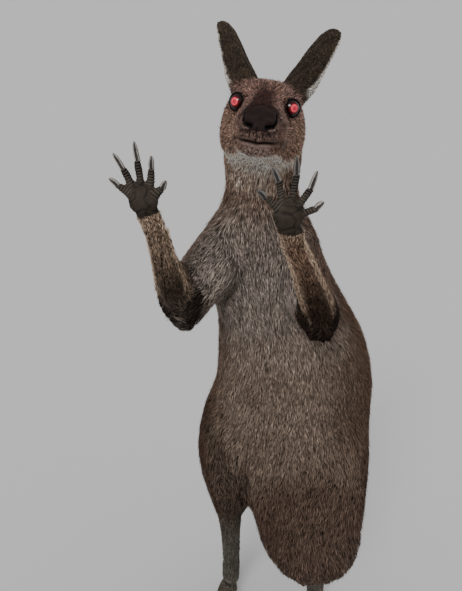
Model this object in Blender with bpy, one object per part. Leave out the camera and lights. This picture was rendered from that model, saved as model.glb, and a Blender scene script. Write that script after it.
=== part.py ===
"""Western grey kangaroo, adult female, upright on hind feet and tail with both hands raised.

Metres, +Z up, floor at Z = 0. The animal faces -Y and its own left side is towards +X.
Body masses are lofted tubes, fused into one skin per region, then parted by thin cuts.
"""

import math
from typing import NamedTuple

import bmesh
import bpy
import numpy as np
from mathutils import Vector

GAP = 0.0003
FLOOR_DIP = 0.003

BODY_VOXEL = 0.004
FINE_VOXEL = 0.0018
HAND_VOXEL = 0.0012
BODY_SMOOTHING = 40
LIMB_SMOOTHING = 16

TRUNK_FACES = 1040
LEG_FACES = 400
ARM_FACES = 260
HEAD_FACES = 1160
HAND_FACES = 520
FOOT_FACES = 380

SOFT_REACH = (0.150, 0.260)
SOFT_LEAST = 0.16

EYE_RADIUS = 0.0130

EAR_THICKNESS = 0.0026
EAR_GRID = 10
EAR_STATIONS = (0.0, 0.12, 0.3, 0.5, 0.7, 0.86, 0.95, 1.0)
EAR_HALF = (0.0170, 0.0205, 0.0235, 0.0235, 0.0222, 0.0192, 0.0160, 0.0110)
EAR_WRAP_STATIONS = (0.0, 0.25, 0.6, 1.0)
EAR_WRAP = (150.0, 118.0, 64.0, 40.0)
EAR_LEAN_BACK = 0.10
EAR_BASES = {"left": (0.023, -0.040, 0.010), "right": (-0.016, -0.040, 0.012)}
EAR_TIPS = {"left": Vector((0.1423, -0.1717, 1.1793)), "right": Vector((-0.0350, -0.1756, 1.1830))}
EAR_OPEN = {"left": (0.45, 0.89, 0.0), "right": (-0.55, 0.83, 0.0)}

FUR = ("grey_brown_coat", (0.36, 0.29, 0.23, 1.0), 0.85)
EAR_FUR = ("dark_ear_coat", (0.17, 0.14, 0.12, 1.0), 0.85)
EYE = ("eye_dark_brown", (0.02, 0.012, 0.010, 1.0), 0.08)
CLAW = ("claw_horn", (0.07, 0.06, 0.055, 1.0), 0.35)


class Ring(NamedTuple):
    """A tube section: centre, half width, half depth on either side, turn of the width about Z.

    Half depth `under` lies to width x path, `over` to the other side.
    """

    x: float
    y: float
    z: float
    half: float
    under: float
    over: float
    yaw: float = 0.0


class Digit(NamedTuple):
    """A digit in the plane of its palm: root, lengths and lean from upright towards +X, in degrees."""

    root_x: float
    root_z: float
    length: float
    lean: float
    claw: float
    claw_lean: float


class Toe(NamedTuple):
    """A toe on the sole: offset to the side, start and length forward, half width, height, claw."""

    aside: float
    start: float
    length: float
    half: float
    height: float
    claw: float
    claw_half: float


TRUNK = (
    Ring(0.140, 0.110, 0.400, 0.060, 0.060, 0.060, 27),
    Ring(0.143, 0.073, 0.450, 0.115, 0.124, 0.092, 27),
    Ring(0.140, 0.040, 0.520, 0.152, 0.160, 0.116, 27),
    Ring(0.136, 0.001, 0.600, 0.163, 0.152, 0.128, 25),
    Ring(0.118, -0.031, 0.680, 0.147, 0.132, 0.124, 21),
    Ring(0.087, -0.065, 0.760, 0.115, 0.112, 0.112, 16),
    Ring(0.060, -0.100, 0.840, 0.103, 0.096, 0.098, 12),
    Ring(0.049, -0.126, 0.900, 0.084, 0.076, 0.074, 9),
)
BELLY = (
    Ring(0.114, 0.000, 0.550, 0.130, 0.140, 0.110, 27),
    Ring(0.105, -0.012, 0.462, 0.112, 0.125, 0.100, 27),
    Ring(0.097, -0.020, 0.394, 0.086, 0.098, 0.090, 27),
    Ring(0.090, -0.024, 0.346, 0.056, 0.066, 0.066, 27),
)
NECK = (
    Ring(0.054, -0.110, 0.860, 0.096, 0.086, 0.086, 12),
    Ring(0.048, -0.128, 0.910, 0.077, 0.072, 0.068, 9),
    Ring(0.044, -0.152, 0.960, 0.062, 0.060, 0.057, 6),
    Ring(0.041, -0.190, 1.005, 0.061, 0.058, 0.052, 4),
    Ring(0.038, -0.226, 1.030, 0.055, 0.052, 0.044, 3),
)
HEAD_ORIGIN = Vector((0.0355, -0.283, 1.056))
HEAD_FORWARD = Vector((-0.100, -0.922, -0.375)).normalized()
HEAD_ROLL = -3.0
# Distance forward of the eyes, centre above them, half width, depth down to the jaw, height up to the brow.
HEAD = (
    (-0.072, -0.026, 0.038, 0.038, 0.048),
    (-0.052, -0.038, 0.053, 0.048, 0.066),
    (-0.028, -0.047, 0.0605, 0.047, 0.078),
    (-0.006, -0.045, 0.0555, 0.042, 0.077),
    (0.016, -0.039, 0.0440, 0.036, 0.065),
    (0.040, -0.028, 0.0365, 0.034, 0.049),
    (0.062, -0.021, 0.0335, 0.033, 0.036),
    (0.079, -0.019, 0.0305, 0.029, 0.030),
    (0.091, -0.018, 0.0245, 0.0235, 0.0215),
)
EYE_OUT = 0.0322
EYE_UP = 0.003
EYE_AHEAD = 0.009

TAIL = (
    Ring(0.150, 0.105, 0.430, 0.062, 0.058, 0.060, -25),
    Ring(0.180, 0.170, 0.345, 0.052, 0.052, 0.052, -25),
    Ring(0.214, 0.245, 0.235, 0.042, 0.043, 0.043, -25),
    Ring(0.252, 0.330, 0.130, 0.034, 0.034, 0.034, -25),
    Ring(0.292, 0.425, 0.058, 0.028, 0.028, 0.028, -24),
    Ring(0.330, 0.520, 0.026, 0.0235, 0.0235, 0.0235, -22),
    Ring(0.366, 0.615, 0.0155, 0.0185, 0.0185, 0.0185, -20),
    Ring(0.394, 0.690, 0.010, 0.013, 0.013, 0.013, -20),
)

RIGHT_THIGH = (
    Ring(0.046, 0.068, 0.530, 0.083, 0.122, 0.082, 26),
    Ring(0.029, 0.020, 0.480, 0.082, 0.128, 0.074, 24),
    Ring(0.013, -0.028, 0.442, 0.068, 0.116, 0.062, 20),
    Ring(0.004, -0.070, 0.416, 0.048, 0.086, 0.048, 18),
    Ring(0.004, -0.090, 0.404, 0.036, 0.056, 0.038, 18),
)
RIGHT_SHANK = (
    Ring(0.004, -0.086, 0.408, 0.034, 0.054, 0.036, 18),
    Ring(0.018, -0.048, 0.328, 0.0285, 0.056, 0.030, 18),
    Ring(0.025, 0.000, 0.242, 0.0240, 0.040, 0.024, 18),
    Ring(0.030, 0.045, 0.155, 0.0200, 0.026, 0.020, 18),
    Ring(0.033, 0.080, 0.085, 0.0200, 0.023, 0.020, 18),
    Ring(0.034, 0.092, 0.055, 0.0210, 0.022, 0.021, 18),
)
LEFT_THIGH = (
    Ring(0.211, 0.006, 0.525, 0.096, 0.122, 0.084, 28),
    Ring(0.189, -0.045, 0.462, 0.105, 0.134, 0.084, 27),
    Ring(0.169, -0.091, 0.402, 0.109, 0.134, 0.076, 26),
    Ring(0.167, -0.133, 0.348, 0.100, 0.114, 0.064, 22),
    Ring(0.181, -0.158, 0.309, 0.085, 0.082, 0.050, 18),
)
LEFT_SHANK = (
    Ring(0.180, -0.156, 0.320, 0.066, 0.062, 0.042, 16),
    Ring(0.192, -0.100, 0.262, 0.052, 0.064, 0.036, 16),
    Ring(0.204, -0.038, 0.192, 0.032, 0.044, 0.027, 16),
    Ring(0.220, 0.016, 0.130, 0.0220, 0.027, 0.021, 16),
    Ring(0.231, 0.056, 0.080, 0.0200, 0.023, 0.020, 16),
    Ring(0.234, 0.068, 0.053, 0.0210, 0.022, 0.021, 16),
)
# Heel on the floor and the way each foot points.
RIGHT_HEEL = (0.036, 0.112)
RIGHT_FOOT_YAW = 17.0
LEFT_HEEL = (0.239, 0.088)
LEFT_FOOT_YAW = 16.0
# Forward of the heel, half width, height of the centre, half height.
SOLE = (
    (0.004, 0.0165, 0.021, 0.018),
    (0.024, 0.0215, 0.026, 0.027),
    (0.060, 0.0215, 0.024, 0.025),
    (0.105, 0.0215, 0.020, 0.021),
    (0.150, 0.0225, 0.017, 0.018),
    (0.180, 0.0205, 0.014, 0.0155),
)
TOES = (
    Toe(0.002, 0.160, 0.082, 0.0125, 0.0135, 0.030, 0.0062),
    Toe(0.0215, 0.135, 0.060, 0.0085, 0.0100, 0.019, 0.0042),
    Toe(-0.0190, 0.140, 0.044, 0.0052, 0.0090, 0.010, 0.0020),
    Toe(-0.0255, 0.140, 0.042, 0.0052, 0.0090, 0.010, 0.0020),
)
TOE_NAMES = ("fourth", "fifth", "third", "second")

RIGHT_ARM = (
    Ring(0.004, -0.112, 0.872, 0.062, 0.058, 0.056, 20),
    Ring(-0.030, -0.160, 0.836, 0.053, 0.054, 0.048, 30),
    Ring(-0.057, -0.212, 0.799, 0.040, 0.051, 0.038, 35),
    Ring(-0.071, -0.256, 0.764, 0.0310, 0.038, 0.030, 35),
)
RIGHT_FOREARM = (
    Ring(-0.070, -0.252, 0.766, 0.0310, 0.029, 0.029, 10),
    Ring(-0.077, -0.276, 0.802, 0.0285, 0.027, 0.027, 10),
    Ring(-0.088, -0.306, 0.846, 0.0225, 0.021, 0.021, 6),
    Ring(-0.097, -0.336, 0.880, 0.0165, 0.0150, 0.0150, 0),
    Ring(-0.1065, -0.358, 0.910, 0.0145, 0.0100, 0.0100, 0),
)
LEFT_ARM = (
    Ring(0.094, -0.118, 0.866, 0.058, 0.056, 0.056, 10),
    Ring(0.117, -0.164, 0.824, 0.048, 0.050, 0.048, 0),
    Ring(0.130, -0.214, 0.778, 0.038, 0.040, 0.038, -8),
    Ring(0.139, -0.262, 0.750, 0.0300, 0.031, 0.030, -10),
)
LEFT_FOREARM = (
    Ring(0.139, -0.256, 0.748, 0.0290, 0.028, 0.028, 0),
    Ring(0.128, -0.280, 0.790, 0.0285, 0.027, 0.027, 0),
    Ring(0.103, -0.308, 0.836, 0.0225, 0.021, 0.021, 0),
    Ring(0.083, -0.336, 0.868, 0.0170, 0.0150, 0.0150, 0),
    Ring(0.0700, -0.359, 0.897, 0.0150, 0.0100, 0.0100, 0),
)
RIGHT_PALM = Vector((-0.1095, -0.3640, 0.9215))
LEFT_PALM = Vector((0.0670, -0.3660, 0.9110))
PALM_HALF = (0.0185, 0.0078, 0.0175)
DIGIT_RADIUS = 0.0044
CLAW_RADIUS = 0.0032
RIGHT_DIGITS = (
    Digit(-0.0125, 0.0030, 0.022, -52, 0.0145, -56),
    Digit(-0.0115, 0.0110, 0.029, -28, 0.0215, -34),
    Digit(-0.0030, 0.0140, 0.033, -10, 0.0230, -8),
    Digit(0.0070, 0.0120, 0.0255, 3, 0.0160, 2),
    Digit(0.0120, 0.0040, 0.0160, 36, 0.0105, 36),
)
LEFT_DIGITS = (
    Digit(-0.0130, 0.0090, 0.0195, -50, 0.0145, -56),
    Digit(-0.0080, 0.0150, 0.0265, -12, 0.0175, -30),
    Digit(0.0030, 0.0170, 0.0325, 8, 0.0220, -6),
    Digit(0.0120, 0.0130, 0.0245, 33, 0.0225, 15),
    Digit(0.0150, 0.0030, 0.0190, 66, 0.0130, 48),
)
DIGIT_NAMES = ("one", "two", "three", "four", "five")
# Share of the length, lift off the palm's plane and swelling, along each digit and each toe.
DIGIT_PROFILE = ((-0.2, 0.0, 1.1), (0.3, 0.0025, 1.0), (0.7, 0.0030, 1.0), (1.12, 0.0, 0.88))
TOE_PROFILE = ((-0.35, 0.8), (0.0, 1.0), (0.45, 0.98), (0.8, 1.05), (1.0, 0.85))
TOE_DROP = 0.0035
CLAW_PROFILE = ((0.0, 1.0), (0.42, 0.98), (0.76, 0.76), (0.95, 0.36))
CLAW_DEPTH = 1.15
HAND_CLAW_BEND = 0.22
FOOT_CLAW_BEND = 0.10

# Where the body is parted: a place on the cut and the way square to it.
NECK_CUT = (Vector((0.040, -0.176, 1.000)), Vector((-0.05, -0.60, 0.80)).normalized())
SHOULDER_CUT = (Vector((0.050, -0.125, 0.900)), Vector((-0.05, -0.35, 0.94)))
TAIL_CUTS = (1, 3, 5)
WRISTS = {
    "right": (Vector((-0.1010, -0.3470, 0.8940)), Vector((-0.30, -0.55, 0.80)).normalized()),
    "left": (Vector((0.0760, -0.3465, 0.8805)), Vector((-0.42, -0.55, 0.75)).normalized()),
}
ARMS = {"right": (RIGHT_ARM, RIGHT_FOREARM), "left": (LEFT_ARM, LEFT_FOREARM)}
LEGS = {"right": (RIGHT_THIGH, RIGHT_SHANK), "left": (LEFT_THIGH, LEFT_SHANK)}
HANDS = {"right": (RIGHT_PALM, RIGHT_DIGITS), "left": (LEFT_PALM, LEFT_DIGITS)}
FEET = {"right": (RIGHT_HEEL, RIGHT_FOOT_YAW, -1), "left": (LEFT_HEEL, LEFT_FOOT_YAW, 1)}


def clear_scene():
    """Removes whatever the empty file starts with."""
    for item in list(bpy.data.objects):
        bpy.data.objects.remove(item, do_unlink=True)


def new_object(name, vertices, faces):
    """A linked mesh object at the origin."""
    mesh = bpy.data.meshes.new(name)
    mesh.from_pydata([tuple(map(float, v)) for v in vertices], [], [tuple(f) for f in faces])
    mesh.update()
    item = bpy.data.objects.new(name, mesh)
    bpy.context.scene.collection.objects.link(item)
    return item


def replace_mesh(item, build):
    """Runs an edit on an object's mesh."""
    work = bmesh.new()
    work.from_mesh(item.data)
    build(work)
    work.to_mesh(item.data)
    work.free()
    item.data.update()


def bake_modifiers(item):
    """Makes the modifiers' result the object's own mesh."""
    graph = bpy.context.evaluated_depsgraph_get()
    graph.update()
    mesh = bpy.data.meshes.new_from_object(item.evaluated_get(graph))
    item.modifiers.clear()
    item.data = mesh


def smooth_path(rows, per_span):
    """Catmull-Rom curve through the rows, every column alike."""
    rows = np.asarray(rows, float)
    padded = np.vstack([2 * rows[0] - rows[1], rows, 2 * rows[-1] - rows[-2]])
    steps = np.arange(per_span)[:, None] / per_span
    spans = []
    for i in range(len(rows) - 1):
        a, b, c, d = padded[i : i + 4]
        spans.append(
            0.5
            * (
                2 * b
                + (c - a) * steps
                + (2 * a - 5 * b + 4 * c - d) * steps**2
                + (3 * b - a - 3 * c + d) * steps**3
            )
        )
    return np.vstack(spans + [rows[-1:]])


def rounded(centre, size, path, ends):
    """Adds three shrinking rings past each end so the tube closes in a dome."""
    domes = np.radians([32.0, 60.0, 84.0])
    reach = size.mean(axis=1)
    first = [centre[0] - path[0] * reach[0] * ends[0] * math.sin(t) for t in domes[::-1]]
    last = [centre[-1] + path[-1] * reach[-1] * ends[1] * math.sin(t) for t in domes]
    small = [size[0] * math.cos(t) for t in domes[::-1]]
    shrink = [size[-1] * math.cos(t) for t in domes]
    return np.vstack([first, centre, last]), np.vstack([small, size, shrink])


def tube(rings, per_span=5, around=28, ends=(0.7, 0.7), roll=0.0, power=2.0, way=None):
    """Closed loft of oval rings, squarer as `power` rises; returns vertices and faces.

    The rings stand square to the path, or to `way` where one is given.
    """
    rows = smooth_path(rings, per_span)
    centre, size = rows[:, :3], rows[:, 3:6]
    yaw = np.radians(rows[:, 6])
    path = np.gradient(centre, axis=0)
    path /= np.linalg.norm(path, axis=1)[:, None]
    if way is not None:
        path[:] = way
    side = np.column_stack([np.cos(yaw), -np.sin(yaw), np.full(len(yaw), math.tan(math.radians(roll)))])
    side -= path * np.sum(side * path, axis=1)[:, None]
    side /= np.linalg.norm(side, axis=1)[:, None]
    centre, size = rounded(centre, size, path, ends)
    side = np.vstack([[side[0]] * 3, side, [side[-1]] * 3])
    path = np.vstack([[path[0]] * 3, path, [path[-1]] * 3])
    under = np.cross(side, path)
    angle = np.arange(around) * 2 * math.pi / around
    wide, deep = np.cos(angle), np.sin(angle)
    wide = (np.sign(wide) * np.abs(wide) ** (2 / power))[None, :, None]
    deep = (np.sign(deep) * np.abs(deep) ** (2 / power))[None, :, None]
    depth = np.where(deep > 0, size[:, None, 1:2], size[:, None, 2:3])
    points = centre[:, None] + side[:, None] * wide * size[:, None, :1] + under[:, None] * deep * depth
    return close_tube(points)


def close_tube(points):
    """Faces for a grid of rings, with a fan on each end."""
    rings, around = points.shape[:2]
    vertices = points.reshape(-1, 3)
    faces = []
    for i in range(rings - 1):
        for j in range(around):
            k = (j + 1) % around
            faces.append((i * around + j, i * around + k, (i + 1) * around + k, (i + 1) * around + j))
    first, last = len(vertices), len(vertices) + 1
    vertices = np.vstack([vertices, points[0].mean(axis=0), points[-1].mean(axis=0)])
    base = (rings - 1) * around
    for j in range(around):
        k = (j + 1) % around
        faces.append((first, k, j))
        faces.append((last, base + j, base + k))
    return vertices, faces


def ball(centre, half, around, levels):
    """A closed oval ball as a loft, half sizes along X, Y and Z."""
    heights = np.linspace(-math.pi / 2, math.pi / 2, levels + 2)[1:-1]
    angle = np.arange(around) * 2 * math.pi / around
    points = np.zeros((levels, around, 3))
    points[..., 0] = half[0] * np.cos(heights)[:, None] * np.cos(angle)[None]
    points[..., 1] = half[1] * np.cos(heights)[:, None] * np.sin(angle)[None]
    points[..., 2] = half[2] * np.sin(heights)[:, None]
    vertices, faces = close_tube(points)
    vertices[-2:, 2] = (-half[2], half[2])
    return vertices + np.asarray(centre), faces


def sphere(name, centre, radius):
    """A round ball as an object."""
    return new_object(name, *ball(centre, (radius,) * 3, 14, 8))


def fuse(name, shells, voxel, passes, faces):
    """One skin round overlapping shells, smoothed and thinned to a face count."""
    vertices, polygons, start = [], [], 0
    for points, rings in shells:
        vertices.append(points)
        polygons += [tuple(i + start for i in face) for face in rings]
        start += len(points)
    item = new_object(name, np.vstack(vertices), polygons)
    replace_mesh(item, lambda work: bmesh.ops.recalc_face_normals(work, faces=work.faces))
    remesh = item.modifiers.new("skin", "REMESH")
    remesh.mode = "VOXEL"
    remesh.voxel_size = voxel
    bake_modifiers(item)
    soften(item, passes)
    thin = item.modifiers.new("thin", "DECIMATE")
    thin.ratio = faces / (2 * len(item.data.polygons))
    thin.use_collapse_triangulate = True
    bake_modifiers(item)
    return item


def soften(item, passes):
    """Smooths the blends fully near the trunk and lightly out on the limbs and tail."""
    points = np.array([v.co[:] for v in item.data.vertices])
    nearest = np.full(len(points), 9.0)
    for ring in TRUNK:
        nearest = np.minimum(nearest, np.linalg.norm(points - np.array(ring[:3]), axis=1))
    weights = np.clip((SOFT_REACH[1] - nearest) / (SOFT_REACH[1] - SOFT_REACH[0]), SOFT_LEAST, 1.0)
    group = item.vertex_groups.new(name="soft")
    for i, weight in enumerate(weights):
        group.add([i], float(weight), "REPLACE")
    smooth = item.modifiers.new("smooth", "SMOOTH")
    smooth.factor = 0.5
    smooth.iterations = passes
    smooth.vertex_group = "soft"
    bake_modifiers(item)
    item.vertex_groups.clear()


def slab(centre, normal, half, depth):
    """Box round a cutting plane: square of half size `half`, from the plane to `depth` along the normal."""
    turn = Vector(normal).to_track_quat("Z", "Y").to_matrix()
    low, high = min(0.0, depth), max(0.0, depth)
    corners = [Vector((x, y, z)) for z in (low, high) for x in (-half, half) for y in (-half, half)]
    vertices = [Vector(centre) + turn @ c for c in corners]
    faces = [(0, 1, 3, 2), (4, 6, 7, 5), (0, 4, 5, 1), (2, 3, 7, 6), (0, 2, 6, 4), (1, 5, 7, 3)]
    return new_object("cutter", vertices, faces)


def subtract(item, cutter):
    """Cuts one closed object out of another and removes the cutter."""
    cut = item.modifiers.new("cut", "BOOLEAN")
    cut.operation = "DIFFERENCE"
    cut.solver = "EXACT"
    cut.use_self = True
    cut.object = cutter
    bake_modifiers(item)
    bpy.data.objects.remove(cutter, do_unlink=True)


def trim(item, centre, normal, half, depth):
    """Cuts away all that lies in a square slab beyond a plane."""
    subtract(item, slab(centre, normal, half, depth))


def part(item, centre, normal, half):
    """A gap-wide cut centred on a plane, no wider than the square given."""
    start = Vector(centre) - Vector(normal).normalized() * GAP / 2
    subtract(item, slab(start, normal, half, GAP))


def flatten_soles(item):
    """Cuts away what dips under the floor."""
    trim(item, (0.2, 0.2, 0.0), (0, 0, 1), 2.0, -0.2)


def loose_pieces(item):
    """Vertex and face lists of each connected piece."""
    work = bmesh.new()
    work.from_mesh(item.data)
    left = set(work.verts)
    pieces = []
    while left:
        stack = [left.pop()]
        seen = set(stack)
        while stack:
            for edge in stack.pop().link_edges:
                for vertex in edge.verts:
                    if vertex not in seen:
                        seen.add(vertex)
                        stack.append(vertex)
        left -= seen
        order = {v: i for i, v in enumerate(sorted(seen, key=lambda v: v.index))}
        faces = [[order[v] for v in f.verts] for f in work.faces if f.verts[0] in seen]
        pieces.append(([v.co.copy() for v in order], faces))
    work.free()
    return pieces


def name_pieces(item, anchors):
    """Splits a parted skin and names each piece after the anchor nearest its middle."""
    named = []
    for vertices, faces in loose_pieces(item):
        middle = sum(vertices, Vector()) / len(vertices)
        name = min(anchors, key=lambda key: (middle - Vector(anchors[key])).length)
        named.append(new_object(name, vertices, faces))
    bpy.data.objects.remove(item, do_unlink=True)
    return named


def head_axes():
    """The head's own ways: its left, forward and up."""
    side = Vector((1.0, 0.0, math.tan(math.radians(HEAD_ROLL))))
    side = (side - HEAD_FORWARD * side.dot(HEAD_FORWARD)).normalized()
    return side, HEAD_FORWARD, side.cross(HEAD_FORWARD) * -1


def head_point(side_way, ahead, up):
    """A place given along the head's own ways."""
    side, forward, above = head_axes()
    return HEAD_ORIGIN + side * side_way + forward * ahead + above * up


def head_shell():
    """The skull and muzzle as one squarish tube along the head's forward way."""
    side, forward, above = head_axes()
    rings = []
    for ahead, rise, half, down, up in HEAD:
        point = HEAD_ORIGIN + forward * ahead + above * rise
        rings.append(Ring(*point, half, down, up, 0.0))
    yaw = math.degrees(math.atan2(-side.y, side.x))
    rings = [ring._replace(yaw=yaw) for ring in rings]
    return tube(rings, per_span=5, around=36, ends=(0.6, 0.5), roll=HEAD_ROLL, power=2.3, way=forward)


def foot_ways(heel, yaw):
    """A foot's start on the floor, its forward way and its way to the animal's left."""
    forward = Vector((-math.sin(math.radians(yaw)), -math.cos(math.radians(yaw)), 0.0))
    start = Vector((heel[0], heel[1], 0.0))
    return start, forward, Vector((forward.y * -1, forward.x, 0.0))


def toe_shell(toe, start, forward, side, yaw, outward):
    """One toe as a tube along the sole."""
    rows = []
    for k, swell in TOE_PROFILE:
        spread = toe.aside * outward * min(1.0, 0.8 + 0.4 * k)
        point = start + side * spread + forward * (toe.start + toe.length * k)
        tall = toe.height - TOE_DROP * k
        rows.append(Ring(point.x, point.y, tall - FLOOR_DIP, toe.half * swell, tall, tall, yaw))
    return tube(rows, around=18, ends=(0.5, 0.4))


def foot_shells(heel, yaw, outward):
    """The sole and its four toes."""
    start, forward, side = foot_ways(heel, yaw)
    sole = []
    for ahead, half, height, tall in SOLE:
        point = start + forward * ahead
        sole.append(Ring(point.x, point.y, height - FLOOR_DIP, half, tall, tall, yaw))
    toes = [toe_shell(toe, start, forward, side, yaw, outward) for toe in TOES]
    return [tube(sole, ends=(0.5, 0.5)), *toes]


def claw(name, base, way, curl, length, half, bend):
    """A curved tapering claw; `curl` is the direction its tip bends to."""
    way, curl = Vector(way).normalized(), Vector(curl).normalized()
    across = way.cross(curl).normalized()
    rows = []
    for k, width in CLAW_PROFILE:
        centre = Vector(base) + way * length * k + curl * length * bend * k * k
        ring = []
        for j in range(6):
            angle = j * math.pi / 3 + math.pi / 6
            reach = across * math.cos(angle) + curl * math.sin(angle) * CLAW_DEPTH
            ring.append(centre + reach * half * width)
        rows.append(ring)
    vertices, faces = close_tube(np.array([[tuple(p) for p in ring] for ring in rows]))
    vertices[-1] = Vector(base) + way * length + curl * length * bend
    return new_object(name, vertices, faces)


def digit_ways(digit):
    """The way a digit points and the way its claw points."""
    lean = math.radians(digit.lean)
    claw_lean = math.radians(digit.claw_lean)
    finger = Vector((math.sin(lean), 0.0, math.cos(lean)))
    nail = Vector((math.sin(claw_lean), 0.0, math.cos(claw_lean)))
    return finger, nail


def hand_shells(palm, digits, forearm):
    """The palm, the wrist and the five digits."""
    shells = [ball(palm, PALM_HALF, 24, 15), tube(forearm[-3:], ends=(0.2, 1.0))]
    for digit in digits:
        finger, nail = digit_ways(digit)
        root = palm + Vector((digit.root_x, 0.0, digit.root_z))
        rows = []
        for k, rise, swell in DIGIT_PROFILE:
            point = root + finger * digit.length * k + Vector((0.0, rise, 0.0))
            radius = DIGIT_RADIUS * swell
            rows.append(Ring(point.x, point.y, point.z, radius, radius, radius))
        shells.append(tube(rows, around=16, ends=(0.5, 0.3)))
    return shells


def make_hand(label, palm, digits, forearm, wrist):
    """A hand parted at the wrist, its digits cut square where the claws begin."""
    hand = fuse("hand_" + label, hand_shells(palm, digits, forearm), HAND_VOXEL, 3, HAND_FACES)
    trim(hand, wrist[0] + wrist[1] * GAP / 2, wrist[1], 0.08, -0.15)
    made = [hand]
    for name, digit in zip(DIGIT_NAMES, digits):
        finger, nail = digit_ways(digit)
        end = palm + Vector((digit.root_x, 0.0, digit.root_z)) + finger * digit.length
        trim(hand, end, nail, 0.0068, 0.010)
        base = end + nail * GAP
        label_of = f"claw_hand_{label}_{name}"
        made.append(claw(label_of, base, nail, (0, -1, 0), digit.claw, CLAW_RADIUS, HAND_CLAW_BEND))
    return made


def make_foot(label, heel, yaw, outward, shank, ankle):
    """A foot parted at the ankle, flat underneath, its toes cut square where the claws begin."""
    shells = foot_shells(heel, yaw, outward) + [tube(shank[-3:], ends=(0.2, 0.8))]
    foot = fuse("foot_" + label, shells, FINE_VOXEL, 4, FOOT_FACES)
    flatten_soles(foot)
    trim(foot, ankle[0] - ankle[1] * GAP / 2, ankle[1], 0.12, 0.2)
    start, forward, side = foot_ways(heel, yaw)
    made = [foot]
    for name, toe in zip(TOE_NAMES, TOES):
        end = start + side * toe.aside * outward + forward * (toe.start + toe.length)
        end.z = max(toe.height - 0.0055, toe.claw_half * CLAW_DEPTH + toe.claw * FOOT_CLAW_BEND + 0.001)
        trim(foot, end, forward, toe.half + 0.0022, 0.02)
        base = end + forward * GAP
        label_of = f"claw_foot_{label}_{name}"
        made.append(claw(label_of, base, forward, (0, 0, -1), toe.claw, toe.claw_half, FOOT_CLAW_BEND))
    return made


def ear_layers(base, tip, open_way):
    """The ear's two faces as grids: a leaf rolled nearly shut at the root and opening to `open_way`."""
    rise = tip - base
    length = rise.length
    rise.normalize()
    hollow = (Vector(open_way) - rise * Vector(open_way).dot(rise)).normalized()
    across = rise.cross(hollow).normalized()
    along = np.linspace(0.0, 1.0, EAR_GRID)
    half = np.interp(along, EAR_STATIONS, EAR_HALF)
    wrap = np.radians(np.interp(along, EAR_WRAP_STATIONS, EAR_WRAP))
    angle = wrap[:, None] * np.linspace(-1, 1, EAR_GRID)[None]
    radius = (half / np.sin(np.minimum(wrap, math.pi / 2)))[:, None]
    spine = np.array(base) + np.array(rise) * (along[:, None, None] * length)
    bend = -EAR_LEAN_BACK * length * along[:, None] ** 2
    layers = []
    for inset in (0.0, EAR_THICKNESS):
        reach = np.maximum(radius - inset, 0.0004)
        out = np.sin(angle) * reach
        deep = radius * 0.55 - np.cos(angle) * reach + bend
        layers.append(spine + np.array(across) * out[..., None] + np.array(hollow) * deep[..., None])
    return layers


def ear(name, base, tip, open_way, host):
    """A scooped ear, cut back to stand just clear of its host."""
    item = new_object(name, *sheet(*ear_layers(base, tip, open_way)))
    replace_mesh(item, lambda work: bmesh.ops.recalc_face_normals(work, faces=work.faces))
    subtract(item, swollen_copy(host))
    return item


def sheet(outer, inner):
    """Closes two facing grids of points into one thin solid."""
    rows, cols = outer.shape[:2]
    count = rows * cols
    faces = []
    for i in range(rows - 1):
        for j in range(cols - 1):
            a, b, c, d = (i * cols + j, i * cols + j + 1, (i + 1) * cols + j + 1, (i + 1) * cols + j)
            faces.append((a, b, c, d))
            faces.append((d + count, c + count, b + count, a + count))
    rim = [(i, 0) for i in range(rows)] + [(rows - 1, j) for j in range(1, cols)]
    rim += [(i, cols - 1) for i in range(rows - 2, -1, -1)] + [(0, j) for j in range(cols - 2, 0, -1)]
    for (i, j), (k, m) in zip(rim, rim[1:] + rim[:1]):
        faces.append((i * cols + j, k * cols + m, k * cols + m + count, i * cols + j + count))
    return np.vstack([outer.reshape(-1, 3), inner.reshape(-1, 3)]), faces


def swollen_copy(item):
    """A copy grown by the gap, so what it cuts stands just clear."""
    mesh = item.data.copy()
    copy = bpy.data.objects.new("grown", mesh)
    bpy.context.scene.collection.objects.link(copy)
    normals = [v.normal.copy() for v in mesh.vertices]
    for vertex, normal in zip(mesh.vertices, normals):
        vertex.co += normal * GAP
    return copy


def make_head():
    """The head parted from the neck, with its eyes in their sockets and its ears."""
    head = fuse("head", [head_shell(), tube(NECK[2:])], FINE_VOXEL, 5, HEAD_FACES)
    trim(head, NECK_CUT[0] + NECK_CUT[1] * GAP / 2, NECK_CUT[1], 0.2, -0.3)
    eyes = []
    for label, sign in (("left", 1), ("right", -1)):
        centre = head_point(EYE_OUT * sign, EYE_AHEAD, EYE_UP)
        subtract(head, sphere("socket", centre, EYE_RADIUS + GAP))
        eyes.append(sphere("eye_" + label, centre, EYE_RADIUS))
    ears = []
    for label in ("left", "right"):
        base = head_point(*EAR_BASES[label])
        ears.append(ear("ear_" + label, base, EAR_TIPS[label], EAR_OPEN[label], head))
    return head, eyes, ears


def ring_cut(ring, after):
    """A plane through one ring, square to the path towards the next."""
    centre = Vector(ring[:3])
    return centre, (Vector(after[:3]) - centre).normalized()


def bend_cut(coming, going):
    """A plane through the joint of two tubes, halving the angle between them."""
    first = (Vector(coming[-1][:3]) - Vector(coming[-2][:3])).normalized()
    second = (Vector(going[1][:3]) - Vector(going[0][:3])).normalized()
    return (Vector(coming[-1][:3]) + Vector(going[0][:3])) / 2, (first + second).normalized()


def make_trunk():
    """Trunk, neck and the three lengths of tail."""
    shells = [tube(TRUNK), tube(BELLY), tube(NECK), tube(TAIL)]
    spine = fuse("spine", shells, BODY_VOXEL, BODY_SMOOTHING, TRUNK_FACES)
    flatten_soles(spine)
    trim(spine, NECK_CUT[0] - NECK_CUT[1] * GAP / 2, NECK_CUT[1], 0.12, 0.15)
    return spine


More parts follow.
